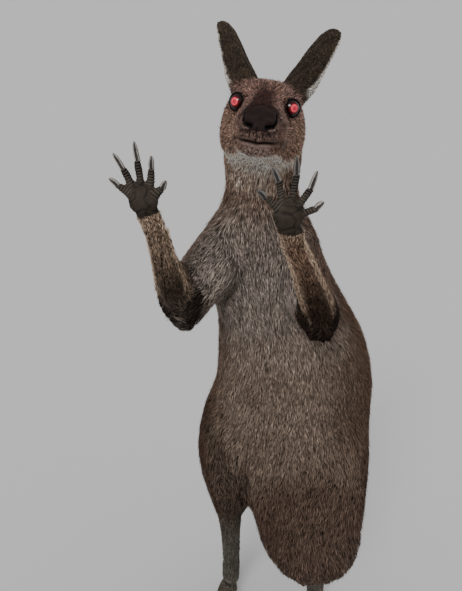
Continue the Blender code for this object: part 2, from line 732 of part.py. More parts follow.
def make_limb(name, upper, lower, faces, spine, end_cut, half):
    """A limb of two lengths set against the trunk, parted at its bend and squared off at its end."""
    limb = fuse(name, [tube(upper), tube(lower)], FINE_VOXEL * 2, LIMB_SMOOTHING, faces)
    subtract(limb, swollen_copy(spine))
    trim(limb, end_cut[0] - end_cut[1] * GAP / 2, end_cut[1], half, half)
    part(limb, *bend_cut(upper, lower), 0.40)
    return limb


def part_spine(spine):
    """Parts neck, trunk and the lengths of the tail, and names each."""
    anchors = {"trunk": TRUNK[3][:3], "neck": NECK[2][:3]}
    part(spine, *SHOULDER_CUT, 0.16)
    ends = (*TAIL_CUTS, len(TAIL) - 1)
    for k, name in enumerate(("tail_root", "tail_middle", "tail_tip")):
        anchors[name] = TAIL[(ends[k] + ends[k + 1]) // 2][:3]
        part(spine, *ring_cut(TAIL[ends[k]], TAIL[ends[k] + 1]), 0.075)
    return name_pieces(spine, anchors)


def paint(items, finish):
    """Gives objects one plain finish."""
    name, colour, roughness = finish
    material = bpy.data.materials.new(name)
    material.use_nodes = True
    shader = material.node_tree.nodes["Principled BSDF"]
    shader.inputs["Base Color"].default_value = colour
    shader.inputs["Roughness"].default_value = roughness
    shader.inputs["Metallic"].default_value = 0.0
    for item in items:
        item.data.materials.clear()
        item.data.materials.append(material)


def centre_on_floor(items):
    """Moves everything so that its box is centred over the origin."""
    corners = [v.co for item in items for v in item.data.vertices]
    middle = [(min(c[i] for c in corners) + max(c[i] for c in corners)) / 2 for i in range(2)]
    shift = Vector((-middle[0], -middle[1], 0.0))
    for item in items:
        for vertex in item.data.vertices:
            vertex.co += shift


def tidy(item):
    """Merges doubled points, cuts faces into triangles and turns them outward."""

    def clean(work):
        bmesh.ops.remove_doubles(work, verts=work.verts, dist=0.00002)
        bmesh.ops.triangulate(work, faces=work.faces)
        bmesh.ops.recalc_face_normals(work, faces=work.faces)

    replace_mesh(item, clean)


def build_arm(side, spine):
    """One arm and hand: the furred pieces and the claws."""
    upper, lower = ARMS[side]
    arm = make_limb("arm", upper, lower, ARM_FACES, spine, WRISTS[side], 0.06)
    pieces = name_pieces(arm, {"upper_arm_" + side: upper[1][:3], "forearm_" + side: lower[2][:3]})
    hand, *claws = make_hand(side, *HANDS[side], lower, WRISTS[side])
    return [*pieces, hand], claws


def build_leg(side, spine):
    """One leg and foot: the furred pieces and the claws."""
    upper, lower = LEGS[side]
    ankle = ring_cut(lower[4], lower[5])
    leg = make_limb("leg", upper, lower, LEG_FACES, spine, ankle, 0.12)
    pieces = name_pieces(leg, {"thigh_" + side: upper[1][:3], "shank_" + side: lower[2][:3]})
    foot, *claws = make_foot(side, *FEET[side], lower, (ankle[0], -ankle[1]))
    return [*pieces, foot], claws


def main():
    """Builds every solid, finishes it and sets the whole on the floor."""
    clear_scene()
    head, eyes, ears = make_head()
    spine = make_trunk()
    furred, claws = [head], []
    for side in ("right", "left"):
        for build in (build_arm, build_leg):
            pieces, nails = build(side, spine)
            furred += pieces
            claws += nails
    furred += part_spine(spine)
    paint(furred, FUR)
    paint(ears, EAR_FUR)
    paint(eyes, EYE)
    paint(claws, CLAW)
    everything = furred + ears + eyes + claws
    for item in everything:
        tidy(item)
    centre_on_floor(everything)


main()
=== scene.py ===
"""A life-size western grey kangaroo: one skin, a coat of solid tufts, eyes, lids, claws and whiskers.

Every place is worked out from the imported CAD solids. The skin is their joined outline, drawn in by the
coat's depth, and the tufts grow from it until their tips reach the outline again.
"""

import logging
import math
from dataclasses import dataclass, field, replace
from enum import Enum
from typing import Callable, Iterable, Sequence

import bmesh
import bpy
import numpy as np
from bpy.types import Material, Mesh, Node, NodeSocket, NodeTree, Object
from mathutils import Matrix, Vector


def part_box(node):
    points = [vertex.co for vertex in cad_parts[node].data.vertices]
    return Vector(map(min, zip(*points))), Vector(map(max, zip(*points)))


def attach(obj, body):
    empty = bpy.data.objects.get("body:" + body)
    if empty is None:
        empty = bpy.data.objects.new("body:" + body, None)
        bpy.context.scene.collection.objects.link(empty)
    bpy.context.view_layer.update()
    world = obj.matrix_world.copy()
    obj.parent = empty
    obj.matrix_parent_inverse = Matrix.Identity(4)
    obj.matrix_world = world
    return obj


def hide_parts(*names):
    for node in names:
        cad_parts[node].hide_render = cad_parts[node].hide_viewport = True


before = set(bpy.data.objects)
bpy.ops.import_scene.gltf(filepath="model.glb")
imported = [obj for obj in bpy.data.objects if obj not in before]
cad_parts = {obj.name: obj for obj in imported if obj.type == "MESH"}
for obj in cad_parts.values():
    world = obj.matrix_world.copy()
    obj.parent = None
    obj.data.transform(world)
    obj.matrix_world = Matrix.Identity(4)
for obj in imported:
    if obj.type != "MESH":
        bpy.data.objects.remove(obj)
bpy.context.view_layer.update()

LOG = logging.getLogger("kangaroo")
Array = np.ndarray
MM = 0.001
SIDES = ("left", "right")
# Which way each side lies along the head's left.
SIGNS = {"left": 1.0, "right": -1.0}
HAND_DIGITS = ("one", "two", "three", "four", "five")
FOOT_DIGITS = ("fourth", "fifth", "third", "second")
FORWARD = np.array([0.0, -1.0, 0.0])
UP = np.array([0.0, 0.0, 1.0])
HEAD_LOOKS = np.array([-0.100, -0.922, -0.375])
# The head's millimetres start this far below and behind the middle between the eyes.
HEAD_START = np.array([0.0, 1.0, 1.0])
# The philtrum runs this far to the head's left of its middle, in millimetres.
GROOVE_LEFT = -1.6
# One ring of skin on a digit, and how far the eyes stand out of the solids' own.
RING = 3.3 * MM
EYE_OUT = 1.5 * MM
# How far the cornea bulges, as a share of the eyeball, and the angle that it fades over.
CORNEA_BULGE = 0.05
CORNEA_ANGLE = 0.55
# How strongly one round of smoothing moves a point in, and then back out.
SMOOTH_IN = 0.55
SMOOTH_BACK = -0.57
# How sharply one length of the body gives way to the next.
PARTING = 9.0
# The share of a tuft's length where it bends over, and its thickness as a share of its width.
BEND_AT = 0.45
KEEL = 0.28


class Bone(Enum):
    """The named lengths of the body that the coat's fields are written on."""

    HEAD = 0
    NECK = 1
    TRUNK = 2
    TAIL = 3
    UPPER_ARM_LEFT = 4
    UPPER_ARM_RIGHT = 5
    FOREARM_LEFT = 6
    FOREARM_RIGHT = 7
    HAND_LEFT = 8
    HAND_RIGHT = 9
    THIGH_LEFT = 10
    THIGH_RIGHT = 11
    SHANK_LEFT = 12
    SHANK_RIGHT = 13
    FOOT_LEFT = 14
    FOOT_RIGHT = 15
    EAR_LEFT = 16
    EAR_RIGHT = 17


def bone_of(word: str, side: str) -> Bone:
    """The length with this name on one side."""
    return Bone[f"{word}_{side}".upper()]


def linear(code: str) -> Array:
    """An sRGB hex colour as linear numbers.

    Args:
        code: six hex digits after a hash.

    Returns:
        Three linear numbers.
    """
    parts = np.array([int(code[i : i + 2], 16) / 255.0 for i in (1, 3, 5)])
    return np.where(parts <= 0.04045, parts / 12.92, ((parts + 0.055) / 1.055) ** 2.4)


def unit(vectors: Array) -> Array:
    """Vectors at length one along the last axis."""
    return vectors / np.maximum(np.linalg.norm(vectors, axis=-1, keepdims=True), 1e-12)


def spans(vectors: Array) -> Array:
    """The length of each vector along the last axis."""
    return np.linalg.norm(vectors, axis=-1)


def flat_on(flow: Array, normals: Array) -> Array:
    """Directions laid flat on a surface, at length one."""
    return unit(flow - normals * (flow * normals).sum(axis=1, keepdims=True))


def drawn_out(points: Array, flow: Array, share: float) -> Array:
    """Places squeezed along the hair's way, so that noise over them is drawn out into streaks."""
    return points - share * ((points * flow).sum(axis=1, keepdims=True) * flow)


def ramp(values: Array, low: float, high: float) -> Array:
    """A smooth step from 0 at low to 1 at high: 3t squared less 2t cubed. low may be above high."""
    t = np.clip((values - low) / (high - low), 0.0, 1.0)
    return t * t * (3.0 - 2.0 * t)


def bell(values: Array, width: float) -> Array:
    """A bump of height 1 at zero that falls off as exp(-(v / width) squared)."""
    return np.exp(-((values / width) ** 2))


def mix(a: Array, b: Array, share: Array) -> Array:
    """Colours a turned to colours b by a share for each point."""
    return a + (b - a) * np.asarray(share)[..., None]


def ripple(points: Array, size: float, seed: int) -> Array:
    """Smooth noise between about -1 and 1.

    The sum of seven plane sine waves in fixed odd directions, each about one size long.

    Args:
        points: places, one row each.
        size: the typical length of a wave, in metres.
        seed: picks the directions.

    Returns:
        One number for each point.
    """
    rng = np.random.default_rng(seed)
    ways = unit(rng.normal(size=(7, 3))) * rng.uniform(0.6, 1.7, (7, 1)) * (2.0 * math.pi / size)
    shifts = rng.uniform(0.0, 2.0 * math.pi, 7)
    return np.sin(points @ ways.T + shifts).sum(axis=1) / 3.2


def near_path(points: Array, path: Sequence | Array) -> tuple[Array, Array]:
    """How far points are from a path of straight runs.

    Args:
        points: places, one row each.
        path: the path's corners, one row each.

    Returns:
        The distance, and how far along the path the nearest place is, from 0 to 1.
    """
    path = np.asarray(path, float)
    best = np.full(len(points), np.inf)
    along = np.zeros(len(points))
    runs = len(path) - 1
    for k in range(runs):
        run = path[k + 1] - path[k]
        t = np.clip(((points - path[k]) @ run) / max(run @ run, 1e-18), 0.0, 1.0)
        gap = spans(points - path[k] - t[:, None] * run)
        closer = gap < best
        best = np.where(closer, gap, best)
        along = np.where(closer, (k + t) / runs, along)
    return best, along


@dataclass
class Surface:
    """Triangles over points, as arrays."""

    points: Array
    faces: Array

    def crosses(self) -> Array:
        """Each triangle's outward direction, twice as long as its area."""
        a, b, c = (self.points[self.faces[:, k]] for k in range(3))
        return np.cross(b - a, c - a)

    def normals(self) -> Array:
        """Each point's outward direction: the sum of its triangles' cross products, at length one.

        Returns:
            Directions, one row each.
        """
        cross = self.crosses()
        total = np.zeros_like(self.points)
        for k in range(3):
            for axis in range(3):
                total[:, axis] += np.bincount(self.faces[:, k], cross[:, axis], len(self.points))
        return unit(total)

    def edges(self) -> Array:
        """Each edge once, as pairs of point numbers."""
        sides = [self.faces[:, pair] for pair in ([0, 1], [1, 2], [2, 0])]
        return np.unique(np.sort(np.concatenate(sides), axis=1), axis=0)

    def relax(self, share: Array, rounds: int) -> None:
        """Smooths the points without shrinking them.

        Each round moves a point part of the way to the mean of its neighbours, and then a little
        further back, which takes out short waves and keeps long ones.

        Args:
            share: how much each point moves, from 0 to 1.
            rounds: how often both moves are made.
        """
        pairs = self.edges()
        count = np.bincount(pairs.ravel(), minlength=len(self.points)).astype(float)
        for step in range(2 * rounds):
            rate = SMOOTH_IN if step % 2 == 0 else SMOOTH_BACK
            mean = np.empty_like(self.points)
            for axis in range(3):
                values = self.points[:, axis]
                mean[:, axis] = np.bincount(pairs[:, 0], values[pairs[:, 1]], len(self.points))
                mean[:, axis] += np.bincount(pairs[:, 1], values[pairs[:, 0]], len(self.points))
            mean /= np.maximum(count, 1.0)[:, None]
            self.points = self.points + (mean - self.points) * (rate * share)[:, None]

    def even(self, values: Array, rounds: int) -> Array:
        """Values at the points, each made the mean of itself and its neighbours, again and again.

        Args:
            values: one number for each point.
            rounds: how often it is done.

        Returns:
            The evened values.
        """
        pairs = self.edges()
        count = np.bincount(pairs.ravel(), minlength=len(self.points)) + 1.0
        for _ in range(rounds):
            total = values + np.bincount(pairs[:, 0], values[pairs[:, 1]], len(values))
            total += np.bincount(pairs[:, 1], values[pairs[:, 0]], len(values))
            values = total / count
        return values

    def largest_piece(self) -> "Surface":
        """The connected piece with most points, so that no closed hollow stays inside.

        Returns:
            The piece.
        """
        pairs = self.edges()
        label = np.arange(len(self.points))
        while True:
            low = np.minimum(label[pairs[:, 0]], label[pairs[:, 1]])
            new = label.copy()
            np.minimum.at(new, label[pairs[:, 0]], low)
            np.minimum.at(new, label[pairs[:, 1]], low)
            new = new[new]
            if (new == label).all():
                break
            label = new
        kept = label == np.bincount(label).argmax()
        number = np.cumsum(kept) - 1
        return Surface(self.points[kept], number[self.faces[kept[self.faces[:, 0]]]])


def read_surface(mesh: Mesh) -> Surface:
    """A mesh's points and triangles.

    Args:
        mesh: the mesh.

    Returns:
        The surface.
    """
    points = np.empty(len(mesh.vertices) * 3, np.float32)
    mesh.vertices.foreach_get("co", points)
    mesh.calc_loop_triangles()
    faces = np.empty(len(mesh.loop_triangles) * 3, np.int32)
    mesh.loop_triangles.foreach_get("vertices", faces)
    return Surface(points.reshape(-1, 3).astype(float), faces.reshape(-1, 3))


def make_object(name: str, points: Array, faces: Array, smooth: bool = True) -> Object:
    """A mesh object at the origin.

    Args:
        name: the piece's name.
        points: places, one row each.
        faces: triangles or four-sided faces, one row each.
        smooth: whether it is shaded smooth.

    Returns:
        The linked object.
    """
    mesh = bpy.data.meshes.new(name)
    sides = faces.shape[1]
    mesh.vertices.add(len(points))
    mesh.loops.add(faces.size)
    mesh.polygons.add(len(faces))
    mesh.vertices.foreach_set("co", np.ascontiguousarray(points, np.float32).ravel())
    mesh.loops.foreach_set("vertex_index", np.ascontiguousarray(faces, np.int32).ravel())
    mesh.polygons.foreach_set("loop_start", np.arange(0, faces.size, sides, dtype=np.int32))
    mesh.polygons.foreach_set("use_smooth", np.full(len(faces), smooth))
    mesh.update(calc_edges=True)
    thing = bpy.data.objects.new(name, mesh)
    bpy.context.scene.collection.objects.link(thing)
    return thing


def discard(thing: Object) -> None:
    """Removes a helper object and its mesh.

    Args:
        thing: the helper.
    """
    mesh = thing.data
    bpy.data.objects.remove(thing)
    bpy.data.meshes.remove(mesh)


def reshaped(shape: Surface, kind: str, settings: dict, shares: Array | None = None) -> Surface:
    """A surface after one modifier, with no helper object left behind.

    Args:
        shape: the surface.
        kind: the modifier's type.
        settings: the modifier's values.
        shares: a weight for each point, kept as the vertex group thin.

    Returns:
        The new surface.
    """
    helper = make_object("helper", shape.points, shape.faces)
    if shares is not None:
        group = helper.vertex_groups.new(name="thin")
        for value in np.unique(shares):
            group.add(np.nonzero(shares == value)[0].tolist(), float(value), "REPLACE")
    tool = helper.modifiers.new(kind.title(), kind)
    for key, value in settings.items():
        setattr(tool, key, value)
    graph = bpy.context.evaluated_depsgraph_get()
    mesh = bpy.data.meshes.new_from_object(helper.evaluated_get(graph))
    discard(helper)
    result = read_surface(mesh)
    bpy.data.meshes.remove(mesh)
    return result


def paint(thing: Object, name: str, colours: Array) -> None:
    """Writes a colour for each point as a named attribute.

    Args:
        thing: the object.
        name: the attribute's name.
        colours: linear colours, one row each.
    """
    layer = thing.data.color_attributes.new(name, "FLOAT_COLOR", "POINT")
    full = np.ones((len(colours), 4), np.float32)
    full[:, :3] = colours
    layer.data.foreach_set("color", full.ravel())


def number(thing: Object, name: str, values: Array) -> None:
    """Writes a number for each point as a named attribute."""
    layer = thing.data.attributes.new(name, "FLOAT", "POINT")
    layer.data.foreach_set("value", np.ascontiguousarray(values, np.float32))


def arrow(thing: Object, name: str, values: Array) -> None:
    """Writes a vector for each point as a named attribute."""
    layer = thing.data.attributes.new(name, "FLOAT_VECTOR", "POINT")
    layer.data.foreach_set("vector", np.ascontiguousarray(values, np.float32).ravel())


def settle(thing: Object, material: Material, nodes: Iterable[str] = ()) -> None:
    """Gives a piece its material, body and slot, and hides the solids that it stands for.

    Args:
        thing: the piece.
        material: what it is made of.
        nodes: the solids that it stands for.
    """
    thing.data.materials.append(material)
    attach(thing, "root")
    names = list(nodes)
    if names:
        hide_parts(*names)
    LOG.info("%s: %d faces", thing.name, len(thing.data.polygons))


def solid(name: str) -> Surface:
    """A CAD node's surface with its doubled points merged.

    Args:
        name: the node's name.

    Returns:
        The surface.
    """
    raw = read_surface(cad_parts[name].data)
    points, where = np.unique(np.round(raw.points, 6), axis=0, return_inverse=True)
    faces = where.ravel()[raw.faces]
    whole = (faces[:, 0] != faces[:, 1]) & (faces[:, 1] != faces[:, 2]) & (faces[:, 0] != faces[:, 2])
    return Surface(points, faces[whole])


def in_box(points: Array, name: str, room: float = 0.0) -> Array:
    """Which places lie in a node's box, grown by some room on every side."""
    low, high = (np.array(c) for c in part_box(name))
    return ((points > low - room) & (points < high + room)).all(axis=1)


def scatter(weights: Array, count: int, seed: int) -> tuple[Array, Array]:
    """Picks triangles by their weights, and a place in each.

    Args:
        weights: how much each triangle counts.
        count: how many places.
        seed: picks the places within each triangle.

    Returns:
        The picked triangles, and the share of each of their three corners.
    """
    rng = np.random.default_rng(seed)
    total = np.cumsum(weights)
    pick = np.searchsorted(total, (np.arange(count) + rng.uniform(size=count)) / count * total[-1])
    pick = np.minimum(pick, len(weights) - 1)
    r, s = np.sqrt(rng.uniform(size=(count, 1))), rng.uniform(size=(count, 1))
    return pick, np.concatenate([1 - r, r * (1 - s), r * s], axis=1)


def sprinkle(shape: Surface, count: int, seed: int) -> Array:
    """Places spread evenly over a surface.

    Args:
        shape: the surface.
        count: how many places.
        seed: picks the places within each triangle.

    Returns:
        The places, one row each.
    """
    pick, shares = scatter(spans(shape.crosses()), count, seed)
    return (shape.points[shape.faces[pick]] * shares[:, :, None]).sum(axis=1)


@dataclass
class Length:
    """One length of the body: a path in the way the hair lies, and the half-width along it."""

    bone: Bone
    path: Array
    half: Array


@dataclass
class Fields:
    """What is known at each place: the surface there, and what the lengths of the body say."""

    points: Array
    normals: Array
    weight: Array
    along: Array
    turn: Array
    flow: Array

    def of(self, *bones: Bone) -> Array:
        """The share of each place that belongs to these lengths."""
        return self.weight[:, [b.value for b in bones]].sum(axis=1)

    def along_of(self, bone: Bone) -> Array:
        """How far along a length each place lies, from 0 to 1."""
        return self.along[:, bone.value]

    def turn_of(self, bone: Bone) -> Array:
        """The angle of each place round a length, from its front."""
        return self.turn[:, bone.value]


class Skeleton:
    """The body's lengths, found from the solids: each joint is where two solids' cut faces meet."""

    SLICES = {"upper_arm": 2, "forearm": 3, "hand": 2, "thigh": 2, "shank": 3, "foot": 4}

    def __init__(self) -> None:
        """Finds the joints and the path of each length."""
        self.solids = {name: solid(name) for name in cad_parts}
        joint = self.joint
        neck_top = joint("neck", "head")
        neck_foot = joint("neck", "trunk")
        rump = joint("trunk", "tail_root")
        nose = self.tip("head", neck_top, HEAD_LOOKS)
        self.lengths = [
            self.length(Bone.HEAD, "head", nose, neck_top, 5),
            self.length(Bone.NECK, "neck", neck_top, neck_foot, 4),
            self.length(Bone.TRUNK, "trunk", neck_foot, rump, 8),
            self.tail(rump),
        ]
        for side in SIDES:
            self.limbs(side)
            self.ear(side)

    def joint(self, one: str, other: str) -> Array:
        """The middle of the cut face where two solids meet: that of one's points beside the other's.

        Args:
            one: a solid's name.
            other: its neighbour's name.

        Returns:
            The joint.
        """
        a, b = self.solids[one].points, self.solids[other].points
        gap = np.sqrt(((a[:, None, :] - b[None, :, :]) ** 2).sum(axis=2)).min(axis=1)
        close = a[gap < max(1.5 * MM, gap.min() * 1.5)]
        return (close.min(axis=0) + close.max(axis=0)) / 2.0

    def tip(self, name: str, start: Array, way: Array | None = None) -> Array:
        """The solid's furthest point from a place, or the furthest along a way.

        Args:
            name: the solid's name.
            start: the place.
            way: the way, if the furthest along it is wanted.

        Returns:
            The tip.
        """
        points = self.solids[name].points
        reach = spans(points - start) if way is None else points @ unit(way)
        return points[reach > reach.max() - 2.0 * MM].mean(axis=0)

    def length(self, bone: Bone, name: str, start: Array, end: Array, count: int) -> Length:
        """A path through the middles of a solid's slices between two places.

        Args:
            bone: the length.
            name: the solid's name.
            start: where it starts.
            end: where it ends.
            count: how many slices.

        Returns:
            The length.
        """
        samples = sprinkle(self.solids[name], 4000, 3)
        run = end - start
        t = (samples - start) @ run / (run @ run)
        path, half = [start], []
        for k in range(count):
            piece = samples[(t >= k / count) & (t < (k + 1) / count)]
            if len(piece) < 12:
                continue
            middle = (piece.min(axis=0) + piece.max(axis=0)) / 2.0
            middle = middle + run * ((k + 0.5) / count - (middle - start) @ run / (run @ run))
            off = piece - middle
            off = off - np.outer(off @ unit(run), unit(run))
            path.append(middle)
            half.append(np.median(spans(off)))
        path.append(end)
        return Length(bone, np.array(path), np.array([half[0], *half, half[-1]]))

    def tail(self, rump: Array) -> Length:
        """The tail as one path through its three solids.

        Args:
            rump: where the tail meets the trunk.

        Returns:
            The length.
        """
        first = self.joint("tail_root", "tail_middle")
        second = self.joint("tail_middle", "tail_tip")
        parts = [
            self.length(Bone.TAIL, "tail_root", rump, first, 2),
            self.length(Bone.TAIL, "tail_middle", first, second, 6),
            self.length(Bone.TAIL, "tail_tip", second, self.tip("tail_tip", second), 2),
        ]
        path = np.concatenate([parts[0].path, parts[1].path[1:], parts[2].path[1:]])
        half = np.concatenate([parts[0].half, parts[1].half[1:], parts[2].half[1:]])
        return Length(Bone.TAIL, path, half)

    def limbs(self, side: str) -> None:
        """An arm and a leg, from the trunk out to the tips of the digits.

        Each solid's cut face with the next one is its end. The hand and the foot end at their tips.

        Args:
            side: left or right.
        """
        for limb in (("upper_arm", "forearm", "hand"), ("thigh", "shank", "foot")):
            top, low, end = (f"{word}_{side}" for word in limb)
            first, bend, last = self.joint(top, "trunk"), self.joint(top, low), self.joint(end, low)
            path = (first, bend, last, self.tip(end, last))
            for word, start, stop in zip(limb, path, path[1:]):
                name = f"{word}_{side}"
                self.lengths.append(self.length(bone_of(word, side), name, start, stop, self.SLICES[word]))

    def ear(self, side: str) -> None:
        """An ear, from the head to its tip.

        Args:
            side: left or right.
        """
        name = f"ear_{side}"
        base = self.joint(name, "head")
        self.lengths.append(self.length(bone_of("ear", side), name, base, self.tip(name, base), 3))

    def of(self, bone: Bone) -> Length:
        """The length that belongs to a bone."""
        return next(item for item in self.lengths if item.bone is bone)

    def fields(self, points: Array, normals: Array) -> Fields:
        """What the lengths say at each place.

        A place belongs to a length by exp(-p d / h), where d is its distance to the path, h the
        half-width there and p the parting, so nearby lengths blend. The hair's way is the blend of
        their directions, laid flat on the surface.

        Args:
            points: places, one row each.
            normals: outward directions at them.

        Returns:
            The fields at each place.
        """
        count = len(points)
        weight = np.zeros((count, len(Bone)))
        along = np.zeros((count, len(Bone)))
        axis = np.zeros((count, len(Bone), 3))
        turn = np.zeros((count, len(Bone)))
        for item in self.lengths:
            best = np.full(count, np.inf)
            b = item.bone.value
            runs = len(item.path) - 1
            for k in range(runs):
                run = item.path[k + 1] - item.path[k]
                way = unit(run)
                t = np.clip(((points - item.path[k]) @ run) / (run @ run), 0.0, 1.0)
                half = item.half[k] + (item.half[k + 1] - item.half[k]) * t
                off = points - item.path[k] - t[:, None] * run
                gap = spans(off) / half
                closer = gap < best
                best = np.where(closer, gap, best)
                along[:, b] = np.where(closer, (k + t) / runs, along[:, b])
                axis[closer, b] = way
                front = unit(FORWARD - way * (FORWARD @ way))
                across = np.cross(way, front)
                angle = np.arctan2(off @ across, off @ front)
                turn[:, b] = np.where(closer, angle, turn[:, b])
            weight[:, b] = np.exp(-PARTING * np.minimum(best, 6.0))
        weight /= np.maximum(weight.sum(axis=1, keepdims=True), 1e-30)
        flow = flat_on((axis * weight[:, :, None]).sum(axis=1), normals)
        return Fields(points, normals, weight, along, turn, flow)


class HeadAxes:
    """The head's own three ways, from the two eyes: its left, upward, and ahead to the nose."""

    def __init__(self) -> None:
        """Finds the middle between the eyes and the three directions."""
        self.eyes = {side: np.array(sum(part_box(f"eye_{side}"), Vector())) / 2.0 for side in SIDES}
        self.middle = (self.eyes["left"] + self.eyes["right"]) / 2.0
        self.left = unit(self.eyes["left"] - self.eyes["right"])
        self.ahead = unit(HEAD_LOOKS - self.left * (HEAD_LOOKS @ self.left))
        self.up = np.cross(self.ahead, self.left)

    def inside(self, points: Array) -> Array:
        """Places as millimetres to the head's left, up and ahead."""
        off = points - self.middle
        return np.stack([off @ self.left, off @ self.up, off @ self.ahead], axis=1) / MM + HEAD_START

    @staticmethod
    def unrolled(spots: Array) -> Array:
        """The muzzle laid flat: millimetres round it from the middle of its front, and millimetres up."""
        return np.stack([np.abs(spots[:, 0]) + 0.6 * (94.0 - spots[:, 2]), spots[:, 1]], axis=1)

    def outside(self, spots: Array) -> Array:
        """Millimetres in the head's ways as places.

        Args:
            spots: places as millimetres in the head's ways.

        Returns:
            Places of the model, one row each.
        """
        spots = (np.asarray(spots, float) - HEAD_START) * MM
        left, rise, ahead = (spots[..., k : k + 1] for k in range(3))
        return self.middle + left * self.left + rise * self.up + ahead * self.ahead

    def way(self, left: float, up: float, ahead: float) -> Array:
        """A direction given in the head's ways, at length one."""
        return unit(left * self.left + up * self.up + ahead * self.ahead)


@dataclass(frozen=True)
class Fur:
    """The hair on one length of the body, in millimetres and degrees.

    depth is how far the tips stand over the skin, length and width are one tuft's, and spacing is the
    mean distance between roots.
    """

    depth: float
    length: float
    width: float
    spacing: float


FURS = {
    "head": Fur(3.4, 8.5, 1.25, 1.30),
    "neck": Fur(6.0, 15.0, 1.3, 2.35),
    "trunk": Fur(8.0, 17.0, 1.40, 2.55),
    "tail": Fur(4.5, 15.0, 1.7, 2.9),
    "upper_arm": Fur(5.5, 17.0, 1.5, 2.5),
    "forearm": Fur(4.0, 10.5, 1.05, 1.85),
    "hand": Fur(1.1, 5.0, 0.9, 1.7),
    "thigh": Fur(7.0, 16.0, 1.45, 2.60),
    "shank": Fur(3.5, 11.0, 1.4, 2.3),
    "foot": Fur(2.0, 7.0, 1.2, 1.9),
    "ear": Fur(0.8, 5.5, 0.8, 1.35),
}


def fur_of(bone: Bone) -> Fur:
    """The hair that belongs to a length of the body.

    Args:
        bone: the length.

    Returns:
        The hair.
    """
    word = bone.name.lower()
    for side in SIDES:
        word = word.removesuffix("_" + side)
    return FURS[word]


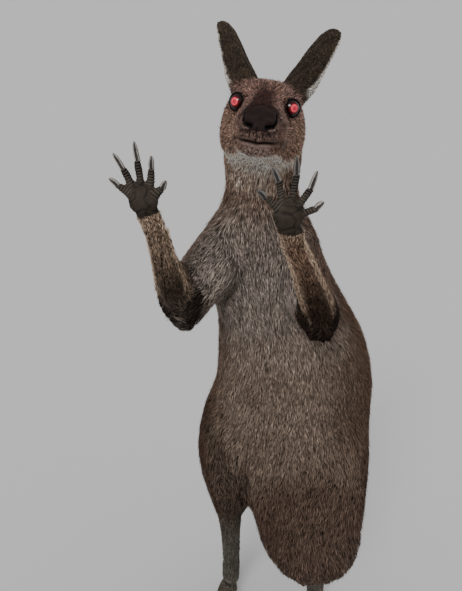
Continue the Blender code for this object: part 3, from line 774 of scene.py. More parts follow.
class Places:
    """Where the bare skin, the face's marks and the limbs' sides are."""

    BRIDGE_AHEAD = (0.0, 10.0, 51.0, 76.0, 84.0)
    BRIDGE_HALF = (11.0, 12.0, 15.0, 20.0, 21.0)
    MOUTH = np.array([
        (0.0, -28.5),
        (10.0, -27.0),
        (20.0, -27.0),
        (42.0, -29.0),
        (66.0, -38.5),
        (73.0, -43.0),
    ])
    NOSTRIL = np.array([(32.5, 1.5), (30.0, -3.5), (22.0, -8.0), (11.0, -8.5)])
    CHIN = np.array([(4.0, -47.0), (11.0, -45.5), (18.0, -41.0)])
    PALM_LINES = (
        ((18.0, -14.0), (22.0, -4.0), (20.0, 5.0), (15.0, 13.0)),
        ((3.0, 0.5), (10.0, 1.5), (17.0, -1.0)),
    )

    def __init__(self, skeleton: Skeleton, head: HeadAxes) -> None:
        """Keeps the lengths and the head's ways, and finds which way each palm faces.

        Args:
            skeleton: the lengths of the body.
            head: the head's ways.
        """
        self.skeleton = skeleton
        self.head = head
        self.palm = {side: self.palm_way(side) for side in SIDES}

    def palm_way(self, side: str) -> Array:
        """The way a palm faces: the flattest direction of its claws and wrist, turned forward.

        Args:
            side: left or right.

        Returns:
            The direction.
        """
        claws = [self.skeleton.solids[f"claw_hand_{side}_{digit}"] for digit in HAND_DIGITS]
        wrist = self.skeleton.of(bone_of("hand", side)).path[0]
        spots = np.array([*(claw.points.mean(axis=0) for claw in claws), wrist])
        way = np.linalg.svd(spots - spots.mean(axis=0))[2][2]
        return way * np.sign(way @ FORWARD)

    def bare(self, at: Fields) -> Array:
        """How bare the skin is, from 0 under fur to 1 on the palms, digits, soles and nose.

        Args:
            at: what is known at the places.

        Returns:
            A share for each place.
        """
        share = np.zeros(len(at.points))
        for side in SIDES:
            hand, foot = bone_of("hand", side), bone_of("foot", side)
            along = at.along_of(hand)
            own = at.of(hand)
            palm = own * ramp(at.normals @ self.palm[side], -0.55, -0.05) * ramp(along, 0.18, 0.24)
            sole = ramp(at.normals @ -UP, 0.35, 0.75) * ramp(at.points @ UP, 0.030, 0.016)
            for bared in (palm, own * ramp(along, 0.50, 0.72), at.of(foot) * sole):
                share = np.maximum(share, bared)
        share = np.maximum(share, self.nose_pad(self.head.inside(at.points)))
        return np.where(share > 0.02, share, 0.0)

    @staticmethod
    def shield(spots: Array, foot: float) -> Array:
        """A shield's lower edge on the muzzle: flat in the middle, and rising past 12.5 mm each side."""
        return ramp(spots[:, 1] - 1.1 * np.clip(np.abs(spots[:, 0]) - 12.5, 0.0, None), foot, -12.0)

    @staticmethod
    def groove(spots: Array) -> Array:
        """The height of the groove under the nose, from its foot over the lip to its top."""
        return ramp(spots[:, 1], -29.0, -27.0) * ramp(spots[:, 1], -8.0, -11.0)

    def nose_pad(self, spots: Array) -> Array:
        """The bare black skin round the nostrils: a shield, pointed below, that fades up the bridge."""
        wide, ahead = np.abs(spots[:, 0]), spots[:, 2]
        return self.shield(spots, -14.5) * ramp(wide, 23.5, 20.0) * ramp(ahead - 0.35 * wide, 50.0, 74.0)

    def pads(self, points: Array, side: str) -> Array:
        """How far each place is on one of the palm's pads, from 0 in the creases to 1 on a pad's top.

        The creases are where a slow noise over the palm crosses zero, and two lines drawn across it.

        Args:
            points: places, one row each.
            side: left or right.

        Returns:
            A share for each place.
        """
        item = self.skeleton.of(bone_of("hand", side))
        run = item.path[-1] - item.path[0]
        across = unit(np.cross(run, self.palm[side]))
        off = points - item.path[0]
        spots = np.stack([off @ run / (run @ run), off @ across / MM], axis=1)
        wave = bell(ripple(points, 0.017, 62), 0.16)
        for path in self.PALM_LINES:
            gap, _ = near_path(spots * [np.linalg.norm(run) / MM, 1.0], path)
            wave = np.maximum(wave, bell(gap + 0.5 * ripple(points, 0.008, 63), 1.3))
        return 1.0 - wave

    def comb(self, at: Fields) -> None:
        """Turns the hair on the front of the muzzle down and outward, away from the nose.

        Args:
            at: what is known at the places.
        """
        spots = self.head.inside(at.points)
        front = ramp(spots[:, 2], 48.0, 74.0) * ramp(spots[:, 1], 6.0, -8.0) * at.of(Bone.HEAD)
        outward = np.sign(spots[:, :1]) * ramp(np.abs(spots[:, :1]), 2.0, 14.0)
        away = unit(-self.head.up + 0.5 * outward * self.head.left)
        at.flow = flat_on(at.flow * (1.0 - front[:, None]) + away * front[:, None], at.normals)

    def depth(self, at: Fields) -> Array:
        """How deep the coat is at each place, in metres: the lengths' depths blended, and none where bare.

        Args:
            at: what is known at the places.

        Returns:
            A depth for each place.
        """
        deep = at.weight @ np.array([fur_of(b).depth for b in Bone])
        spots = self.head.inside(at.points)
        face = ramp(spots[:, 2], -30.0, 55.0) * at.of(Bone.HEAD)
        deep = deep * (1.0 - 0.68 * face)
        for side in SIDES:
            deep = deep * ramp(spans(at.points - self.head.eyes[side]), 11.0 * MM, 27.0 * MM)
        return deep * (1.0 - self.bare(at)) * MM


class Markings:
    """The coat's colours, which the skin and every tuft share."""

    BACK = linear("#725c4c")
    FLANK = linear("#3d2a1f")
    BELLY = linear("#807063")
    CHEST = linear("#8c8077")
    THROAT = linear("#fbe6d2")
    NECK = linear("#8e7768")
    HEAD = linear("#72574d")
    CHEEK = linear("#896d5d")
    LIP = linear("#54443f")
    BRIDGE = linear("#2a0f09")
    NOSE = linear("#1c1311")
    CHIN = linear("#94807a")
    ELBOW = linear("#1b110a")
    ARM = linear("#5b4437")
    PALE = linear("#7d6b5b")
    EDGE = linear("#b39c86")
    HAND = linear("#14100d")
    # Painted shade for the palm's creases.
    PALM = linear("#2d2721")
    CREASE_SHADE = linear("#15110e")
    THIGH = linear("#3d2c23")
    SHANK = linear("#5a554d")
    FOOT = linear("#5b4d42")
    TOE = linear("#1d1714")
    TAIL = linear("#6a5543")
    TAIL_END = linear("#16110e")
    EAR = linear("#372e25")
    EAR_INSIDE = linear("#8f7d70")
    FRINGE = linear("#ded5cb")
    LID = linear("#120c0a")
    RIM = linear("#87726a")

    def __init__(self, places: Places, openings: "dict[str, Opening]") -> None:
        """Keeps the places and the eyes' gaps that the marks are drawn at.

        Args:
            places: where the marks lie.
            openings: the gaps between the lids.
        """
        self.places = places
        self.head = places.head
        self.openings = openings
        self.ear_edges = {side: self.ear_edge(side) for side in SIDES}

    def colour(self, at: Fields) -> Array:
        """The colour at each place.

        Each length has its own colour, blended by the lengths' shares, then mottled by two sizes of
        smooth noise, as the banded hairs of the coat look from a step away, and darkened by painted
        shade in the folds where the upper arms and the right thigh meet the trunk.

        Args:
            at: what is known at the places.

        Returns:
            Linear colours, one row each.
        """
        total = self.on_head(at) * at.of(Bone.HEAD)[:, None]
        for bone, tone in ((Bone.NECK, self.on_neck), (Bone.TRUNK, self.on_trunk), (Bone.TAIL, self.on_tail)):
            total += tone(at) * at.of(bone)[:, None]
        for side in SIDES:
            for tone in (self.on_arm, self.on_leg, self.on_ear):
                total += tone(at, side)
        bare = self.places.bare(at)
        total = mix(total, self.leather(at), bare)
        total = self.nostrils(total, at)
        mottle_and_fold_shade = 1.0 + 0.07 * ripple(at.points, 0.055, 11) + 0.05 * ripple(at.points, 0.014, 12)
        # Painted shade: darker in the folds where the upper arms and the right thigh meet the trunk.
        limbs = at.of(Bone.THIGH_RIGHT, Bone.UPPER_ARM_LEFT, Bone.UPPER_ARM_RIGHT)
        mottle_and_fold_shade *= 1.0 - 0.40 * (4.0 * limbs * at.of(Bone.TRUNK)) ** 3
        mottle_and_fold_shade = mottle_and_fold_shade * np.clip(1.0 + self.streaks(at) * (1.0 - bare), 0.25, 2.6)
        return np.clip(total * mottle_and_fold_shade[:, None], 0.0, 1.0)

    def nostrils(self, tone: Array, at: Fields) -> Array:
        """The colours with the nostrils nearly black with painted shade, each with a paler rim below it.

        Args:
            tone: the colours so far.
            at: what is known at the places.

        Returns:
            The colours.
        """
        spots = self.head.inside(at.points)
        flat = self.head.unrolled(spots)
        share = at.of(Bone.HEAD) * ramp(spots[:, 2], 45.0, 60.0)
        gap, along = near_path(flat, self.places.NOSTRIL)
        rim, _ = near_path(flat, self.places.NOSTRIL + [2.4, -3.4])
        tone = mix(tone, self.NOSE, 0.70 * share * ramp(gap, 7.0, 4.5))
        # Painted shade: the nostril openings nearly black.
        tone = mix(tone, self.LID * 0.2, 0.98 * share * ramp(gap, 3.0, 2.0))
        return mix(tone, self.RIM, 0.45 * share * bell(rim, 0.8) * ramp(along, -0.1, 0.35))

    def streaks(self, at: Fields) -> Array:
        """Locks of paler and darker hair: two sizes of noise, drawn out along the hair's way.

        Args:
            at: what is known at the places.

        Returns:
            How much paler each place is, below zero for darker.
        """
        squeezed = drawn_out(at.points, at.flow, 0.72)
        face = at.of(Bone.HEAD)
        spots = self.head.inside(at.points)
        lips, _ = near_path(self.head.unrolled(spots), self.places.MOUTH)
        face = face * (1.0 - 0.9 * ramp(lips, 8.0, 4.0) * ramp(spots[:, 2], 25.0, 40.0))
        wave = 0.14 * ripple(squeezed, 0.0075, 13) + 0.14 * ripple(squeezed, 0.0040, 14)
        ears = at.of(Bone.EAR_LEFT, Bone.EAR_RIGHT)
        return wave * (1.0 + 3.6 * face + 2.2 * ears) + 0.75 * face * ripple(squeezed, 0.0026, 15)

    def leather(self, at: Fields) -> Array:
        """Bare skin: black at the nose, grey-brown pads on the palms with painted shade in their creases,
        dark digits.

        Args:
            at: what is known at the places.

        Returns:
            Linear colours, one row each.
        """
        base = mix(self.NOSE, self.PALM, at.of(Bone.FOOT_LEFT, Bone.FOOT_RIGHT))
        for side in SIDES:
            hand = bone_of("hand", side)
            # Painted shade: the palm darkens toward the crease colour in its creases, between the pads.
            palm = mix(self.CREASE_SHADE, self.PALM, 0.25 + 0.75 * self.places.pads(at.points, side))
            palm = mix(palm, self.HAND, 0.9 * ramp(at.along_of(hand), 0.62, 0.78))
            base = mix(base, palm, at.of(hand))
        return base

    def on_head(self, at: Fields) -> Array:
        """The face: dark bridge and nose, darker lip, pale chin and throat, dark eye rims, painted shade
        along the chin crease, and a dark mouth line and groove under the nose, partly dark skin and partly
        painted shade.

        Args:
            at: what is known at the places.

        Returns:
            Linear colours, one row each.
        """
        spots = self.head.inside(at.points)
        wide, rise, ahead = np.abs(spots[:, 0]), spots[:, 1], spots[:, 2]
        rough = 1.8 * ripple(at.points, 0.011, 21)
        tone = mix(self.HEAD, self.CHEEK, ramp(rise, 0.0, -25.0))
        jowl = 22.0 * ramp(wide, 18.0, 38.0)
        under = ramp(-(at.normals @ self.head.up), 0.05, 0.60) * ramp(rise + 2.0 * rough + jowl, -36.0, -52.0)
        fade = 0.90 - 0.35 * ramp(rise, -70.0, -105.0)
        tone = mix(tone, self.THROAT, fade * under * ramp(ahead, 82.0, 70.0))
        muzzle = ramp(ahead + rough, 58.0, 82.0) * ramp(rise, -31.0, -26.0)
        tone = mix(tone, self.LIP, 0.80 * muzzle * ramp(wide + 1.5 * rough, 31.0, 17.0))
        tone = mix(tone, self.LIP, 0.45 * ramp(ahead, 34.0, 58.0) * ramp(rise, -24.0, -10.0))
        reach = np.interp(ahead, self.places.BRIDGE_AHEAD, self.places.BRIDGE_HALF)
        dark = ramp(wide + rough, reach + 6.0, reach - 7.0) * ramp(ahead + 2.0 * rough, -16.0, 30.0)
        tone = mix(tone, self.BRIDGE, 0.95 * dark * self.places.shield(spots, -15.0))
        flat = self.head.unrolled(spots)
        front = ramp(ahead, 20.0, 35.0)
        chin, _ = near_path(flat, self.places.CHIN)
        lower = ramp(rise, -27.0, -30.0) * ramp(rise, -48.0, -42.0) * ramp(ahead, 55.0, 72.0)
        tone = mix(tone, self.CHIN, 0.7 * lower * ramp(wide + rough, 22.0, 13.0))
        beard = ramp(wide + rough, 12.0, 20.0) * ramp(wide + rough, 34.0, 26.0)
        beard = beard * ramp(rise + rough, -42.0, -50.0)
        tone = mix(tone, self.THROAT, 0.40 * beard * front * ramp(spots[:, 0], 10.0, -10.0))
        # Painted shade along the chin crease.
        tone = mix(tone, self.LIP, 0.40 * bell(chin, 1.8) * front)
        lip_gap, way = near_path(flat, self.places.MOUTH)
        tone = mix(tone, self.LIP, 0.55 * ramp(lip_gap, 9.0, 4.0) * front)
        # The dark line along the mouth: partly the lips' dark edges and partly painted shade in the slit
        # between them.
        tone = mix(tone, self.LID, 0.97 * bell(lip_gap, 1.9) * ramp(way, 0.64, 0.38) * front)
        # The groove under the nose: partly its bare dark skin and partly painted shade in the groove.
        groove = bell(spots[:, 0] - GROOVE_LEFT, 1.2) * self.places.groove(spots)
        tone = mix(tone, self.LID, 0.9 * groove * front)
        for side in SIDES:
            tone = mix(tone, self.LID, 0.9 * self.eye_line(at.points, side))
        return tone

    def eye_line(self, points: Array, side: str) -> Array:
        """The dark lid line round an eye, drawn out past its outer corner and down toward the nose.

        Args:
            points: places, one row each.
            side: left or right.

        Returns:
            A share for each place.
        """
        opening = self.openings[side]
        away, tilt, turn = opening.angles(points)
        near = ramp(away, 24.0 * MM, 20.0 * MM)
        ring = ramp(tilt, opening.half(turn) + 0.13, opening.half(turn) + 0.06)
        off = (points - opening.centre) / MM
        flat = np.stack([off @ opening.across, off @ opening.rise], axis=1)
        outer, _ = near_path(flat, ((8.0, 9.0), (12.5, 6.2), (18.0, 3.0)))
        inner, _ = near_path(flat, ((-9.5, -4.0), (-13.0, -8.0)))
        line = np.maximum(bell(outer, 1.0), 0.8 * bell(inner, 1.2)) * (off @ opening.look > -7.0)
        return near * np.maximum(ring, line)

    def on_neck(self, at: Fields) -> Array:
        """The neck: pale in front, the back's brown behind.

        Args:
            at: what is known at the places.

        Returns:
            Linear colours, one row each.
        """
        front = np.cos(at.turn_of(Bone.NECK))
        low = at.along_of(Bone.NECK)
        fade = ramp(low + 0.05 * ripple(at.points, 0.03, 33), -0.30, 0.15)
        pale = mix(self.THROAT, self.NECK, fade)
        front = front + 0.10 * ripple(at.points, 0.03, 31)
        return mix(self.BACK, pale, ramp(front, 0.35, 0.92))

    def on_trunk(self, at: Fields) -> Array:
        """The trunk: streaky pale grey chest, grey belly, brown flanks and back, and painted shade on the
        belly's left side.

        Args:
            at: what is known at the places.

        Returns:
            Linear colours, one row each.
        """
        turn = at.turn_of(Bone.TRUNK)
        front = np.cos(turn - 0.25) + 0.10 * ripple(at.points, 0.06, 32)
        low = at.along_of(Bone.TRUNK)
        under = mix(self.CHEST, self.BELLY, ramp(low, 0.15, 0.45))
        under = mix(under, self.FLANK, 0.55 * ramp(low, 0.45, 0.95))
        # Painted shade: the lower belly darkened toward the flank's colour on the animal's left, the side
        # where the light falls off.
        under = mix(under, self.FLANK, 0.60 * ramp(-turn, 0.10, 0.75) * ramp(low, 0.30, 0.50))
        side = mix(self.BACK, self.FLANK, 0.65 * ramp(front, -0.4, 0.2))
        return mix(side, under, ramp(front, 0.05, 0.80))

    def on_tail(self, at: Fields) -> Array:
        """The tail: brown, turning black over its last third."""
        low = at.along_of(Bone.TAIL)
        return mix(mix(self.BACK, self.TAIL, ramp(low, 0.0, 0.3)), self.TAIL_END, ramp(low, 0.55, 0.88))

    def on_arm(self, at: Fields, side: str) -> Array:
        """One arm: pale upper arm, brown forearm with pale edges, black-brown elbow, dark hand.

        Args:
            at: what is known at the places.
            side: left or right.

        Returns:
            Linear colours times the arm's share of each place.
        """
        upper, fore, hand = (bone_of(word, side) for word in ("upper_arm", "forearm", "hand"))
        item = self.places.skeleton.of(fore)
        palm = self.places.palm[side]
        facing = at.normals @ palm
        across = unit(np.cross(item.path[-1] - item.path[0], palm))
        edge = ramp(np.abs(at.normals @ across), 0.45, 0.90)
        along = at.along_of(fore) + 0.07 * ripple(at.points, 0.030, 41)
        inner = 0.85 if side == "right" else 0.25
        tone = mix(self.ARM, self.PALE, inner * ramp(facing, -0.1, 0.7))
        tone = mix(tone, self.EDGE, 0.80 * edge * ramp(along, 0.05, 0.3))
        spared = 1.0 - 0.6 * edge * ramp(along, 0.10, 0.40)
        tone = mix(tone, self.ELBOW, 0.95 * ramp(along, 0.80, 0.30) * spared)
        chest = 1.0 if side == "right" else 0.25 + 0.75 * ramp(at.normals @ self.head.left, 0.2, -0.3)
        shoulder = mix(self.ARM, self.CHEST, chest * ramp(at.normals @ FORWARD, -0.2, 0.6))
        away = spans(at.points - item.path[0]) / MM + 6.0 * ripple(at.points, 0.02, 42)
        dark = 66.0 if side == "left" else 56.0
        shoulder = mix(shoulder, self.ELBOW, 0.95 * ramp(away, dark, dark - 26.0))
        wrist = mix(self.ARM, self.EDGE, 0.8 * ramp(facing, -0.2, 0.5))
        back = mix(self.HAND, wrist, ramp(at.along_of(hand), 0.27, 0.19))
        total = tone * at.of(fore)[:, None] + shoulder * at.of(upper)[:, None]
        return total + back * at.of(hand)[:, None]

    def on_leg(self, at: Fields, side: str) -> Array:
        """One leg: brown thigh, greyer shank, grey-brown foot with black toes.

        Args:
            at: what is known at the places.
            side: left or right.

        Returns:
            Linear colours times the leg's share of each place.
        """
        thigh, shank, foot = (bone_of(word, side) for word in ("thigh", "shank", "foot"))
        low = at.along_of(foot)
        inner = ramp(at.normals @ (FORWARD * 0.8 + UP * 0.1), 0.2, 0.9)
        near = 0.50 * ramp(at.along_of(thigh), 0.65, 0.05) if side == "left" else 0.0
        top = mix(self.THIGH, self.BELLY, (0.25 + near) * inner)
        ankle = mix(self.SHANK, self.FOOT, ramp(low, 0.10, 0.40))
        toes = mix(ankle, self.TOE, ramp(low, 0.45, 0.85))
        total = top * at.of(thigh)[:, None] + toes * at.of(foot)[:, None]
        lower = mix(top, self.SHANK, ramp(at.along_of(shank), -0.1, 0.7))
        return total + lower * at.of(shank)[:, None]

    def ear_lines(self, points: Array, side: str) -> tuple[Array, Array]:
        """How far along an ear each place is, from 0 to 1, and how far out from its middle line.

        Args:
            points: places, one row each.
            side: left or right.

        Returns:
            The share of the length, and the millimetres outward.
        """
        path = self.places.skeleton.of(bone_of("ear", side)).path
        run = path[-1] - path[0]
        out = self.head.left * SIGNS[side]
        across = unit(out - run * (out @ run) / (run @ run))
        return (points - path[0]) @ run / (run @ run), (points - path[0]) @ across / MM

    def ear_edge(self, side: str) -> tuple[Array, Array]:
        """How far out an ear's outer edge lies, at sixteen shares of the ear's length.

        Args:
            side: left or right.

        Returns:
            The shares, and the millimetres outward at them.
        """
        samples = sprinkle(self.places.skeleton.solids[f"ear_{side}"], 6000, 5)
        along, wide = self.ear_lines(samples, side)
        shares = (np.arange(16) + 0.5) / 16.0
        far = [wide[np.abs(along - share) < 0.04].max(initial=-9.0) for share in shares]
        return shares, np.array(far)

    def on_ear(self, at: Fields, side: str) -> Array:
        """One ear: dark behind, pale inside, with a white edge on its outer side, longest at the root.

        Args:
            at: what is known at the places.
            side: left or right.

        Returns:
            Linear colours times the ear's share of each place.
        """
        share = at.of(bone_of("ear", side))
        along, wide = self.ear_lines(at.points, side)
        inside = ramp(at.normals @ FORWARD, -0.1, -0.55)
        tone = mix(self.EAR, self.EAR_INSIDE, 0.9 * inside)
        tone = tone * (1.0 + 0.25 * ripple(at.points, 0.011, 44) + 0.35 * ramp(along, 0.7, 1.0))[:, None]
        line = wide - np.interp(along, *self.ear_edges[side]) + 0.7 * ripple(at.points, 0.006, 43)
        reach = 3.0 + 1.6 * ramp(along, 0.50, 0.12)
        edge = ramp(line, -reach - 1.6, -reach + 1.4) * ramp(along, 0.03, 0.10) * ramp(along, 0.97, 0.80)
        tone = mix(tone, self.FRINGE, 0.85 * edge * ramp(share, 0.40, 0.65))
        return tone * share[:, None]


@dataclass
class Opening:
    """The gap between an eye's lids, as angles from the way the eye looks.

    Each of the four pulls on its ellipse has a place round it, a strength and a spread: at the nose,
    the outer corner, the peak of the upper lid and the lower lid.
    """

    PULLS = ((3.25, 0.16, 0.40), (0.42, 0.10, 0.35), (1.85, 0.08, 0.45), (-1.40, 0.08, 0.5))

    centre: Array
    look: Array
    across: Array
    rise: Array
    ball: float
    wide: float = math.radians(50.0)
    tall: float = math.radians(52.0)

    def half(self, turn: Array) -> Array:
        """How far the gap reaches from its middle: an ellipse of angles, drawn out by the pulls.

        Args:
            turn: angles round the eye's look.

        Returns:
            The angles from the look.
        """
        shape = 1.0 / np.sqrt((np.cos(turn) / self.wide) ** 2 + (np.sin(turn) / self.tall) ** 2)
        for at, pull, spread in self.PULLS:
            gap = np.arctan2(np.sin(turn - at), np.cos(turn - at))
            shape = shape * (1.0 + pull * bell(gap, spread))
        return shape

    def angles(self, points: Array) -> tuple[Array, Array, Array]:
        """Distance from the eye's middle, angle from its look, and turn round it, at each place.

        Args:
            points: places, one row each.

        Returns:
            The distances, the angles from the look and the turns.
        """
        off = points - self.centre
        away = spans(off)
        tilt = np.arccos(np.clip((off @ self.look) / np.maximum(away, 1e-9), -1.0, 1.0))
        return away, tilt, np.arctan2(off @ self.rise, off @ self.across)

    def place(self, tilt: Array, turn: Array, away: Array) -> Array:
        """The place at an angle from the look, a turn round it, and a distance from the eye's middle.

        Args:
            tilt: angles from the look.
            turn: angles round the eye's look.
            away: distances.

        Returns:
            Places, one row each.
        """
        flat = np.cos(turn)[..., None] * self.across + np.sin(turn)[..., None] * self.rise
        way = np.cos(tilt)[..., None] * self.look + np.sin(tilt)[..., None] * flat
        return self.centre + way * away[..., None]


def eye_openings(head: HeadAxes) -> dict[str, Opening]:
    """Each eye's gap: it looks outward from the nose, and its own left to right runs away from the nose.

    Args:
        head: the head's ways.

    Returns:
        The gaps, by side.
    """
    found = {}
    for side, sign in SIGNS.items():
        low, high = (np.array(c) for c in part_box(f"eye_{side}"))
        look = head.way(0.45 * sign, 0.20, 0.87)
        across = unit(sign * head.left - look * (sign * head.left @ look))
        rise = unit(np.cross(look, across) * sign)
        rise = rise * np.sign(rise @ head.up)
        centre = (low + high) / 2.0 + head.left * sign * EYE_OUT
        found[side] = Opening(centre, look, across, rise, float((high - low).mean()) / 2.0)
    return found


class Face:
    """The face's folds, pushed into the skin along its own outward ways."""

    def __init__(self, places: Places, openings: dict[str, Opening]) -> None:
        """Keeps where the marks and the eyes are.

        Args:
            places: where the marks lie.
            openings: the gaps between the lids.
        """
        self.places = places
        self.head = places.head
        self.openings = openings

    def folds(self, points: Array) -> Array:
        """How far each place stands out, in metres, below zero for a groove.

        The sum of bells across each fold's path: nostrils, the groove under the nose, the mouth,
        the chin, the brows, the hollows beside the bridge and the whisker pads.

        Args:
            points: places, one row each.

        Returns:
            A height for each place.
        """
        spots = self.head.inside(points)
        flat = self.head.unrolled(spots)
        rise, ahead = spots[:, 1], spots[:, 2]
        front = ramp(ahead, 25.0, 40.0)
        height = np.zeros(len(points))
        gap, along = near_path(flat, Places.NOSTRIL)
        height -= (6.2 - 2.4 * along) * bell(gap, 2.7 - 0.8 * along) * front
        rim, _ = near_path(flat, Places.NOSTRIL + [0.0, 5.4])
        height += 1.6 * bell(rim, 3.0) * front
        wing, _ = near_path(flat, Places.NOSTRIL + [1.0, -4.4])
        height += 0.7 * bell(wing, 1.8) * front
        height -= 1.8 * bell(spots[:, 0] - GROOVE_LEFT, 1.4) * Places.groove(spots) * front
        mouth, way = near_path(flat, Places.MOUTH)
        closing = 0.2 + 0.8 * ramp(way, 0.8, 0.45)
        height -= (4.0 - 2.6 * way) * bell(mouth, 1.5 + 0.7 * way) * front * closing
        below = (rise - np.interp(flat[:, 0], *Places.MOUTH.T)) / 5.0
        lips = ramp(mouth, 11.0, 3.0) * front * ramp(way, 0.8, 0.4)
        height += 0.7 * lips * ramp(np.abs(below), 0.1, 0.9)
        chin, _ = near_path(flat, Places.CHIN)
        height -= 1.8 * bell(chin, 3.0) * front
        for sign in SIGNS.values():
            own = spots * [sign, 1.0, 1.0]
            hollow = spans((own - [32.0, 2.0, 28.0]) / [9.0, 13.0, 14.0])
            height -= 5.0 * bell(hollow, 1.0)
            brow, _ = near_path(own, ((22.0, 15.0, 12.0), (34.0, 17.0, 0.0), (44.0, 13.0, -12.0)))
            height += 1.6 * bell(brow, 6.5)
            tear, _ = near_path(own, ((27.0, -4.0, 22.0), (29.0, -14.0, 34.0)))
            height -= 1.0 * bell(tear, 2.2)
            for k in range(3):
                row = ((27.0 - k, -9.0 - 6.0 * k, 74.0), (33.0, -14.0 - 7.0 * k, 44.0 - 4.0 * k))
                crease, _ = near_path(own, row)
                height -= 0.55 * bell(crease, 1.5)
            cheek = spans((own - [52.0, -38.0, -18.0]) / [20.0, 24.0, 30.0])
            height += 1.2 * bell(cheek, 1.0)
        height += 0.25 * ripple(points, 0.012, 51) * ramp(ahead, 0.0, 60.0)
        return height * MM * ramp(ahead, -70.0, -50.0)

    def socket(self, points: Array) -> Array:
        """Moves places near each eye on to its lids.

        Inside the gap they sink behind the eyeball. Outside it they lie just over the eyeball at the
        lid's edge and rise from there no more steeply than a bowl, so that nothing hides the eye.

        Args:
            points: places, one row each.

        Returns:
            The moved places.
        """
        for opening in self.openings.values():
            away, tilt, turn = opening.angles(points)
            edge = opening.half(turn)
            over = np.clip(tilt - edge, 0.0, None)
            floor = opening.ball + 0.9 * MM
            bowl = (2.0 * MM + 17.0 * MM * over) * ramp(over, 0.05, 0.5)
            roof = floor + bowl + 80.0 * MM * ramp(over, 0.75, 1.35)
            held = np.clip(away, None, roof)
            held = np.where(over < 0.9, np.maximum(held, floor - 0.2 * MM), held)
            sunk = opening.ball - 2.6 * MM
            share = ramp(tilt, edge + 0.13, edge + 0.02)
            target = held + (sunk - held) * share
            near = ramp(away, 34.0 * MM, 24.0 * MM) * (tilt < 2.0)
            moved = away + (target - away) * near
            points = opening.centre + (points - opening.centre) * (moved / np.maximum(away, 1e-9))[:, None]
        return points


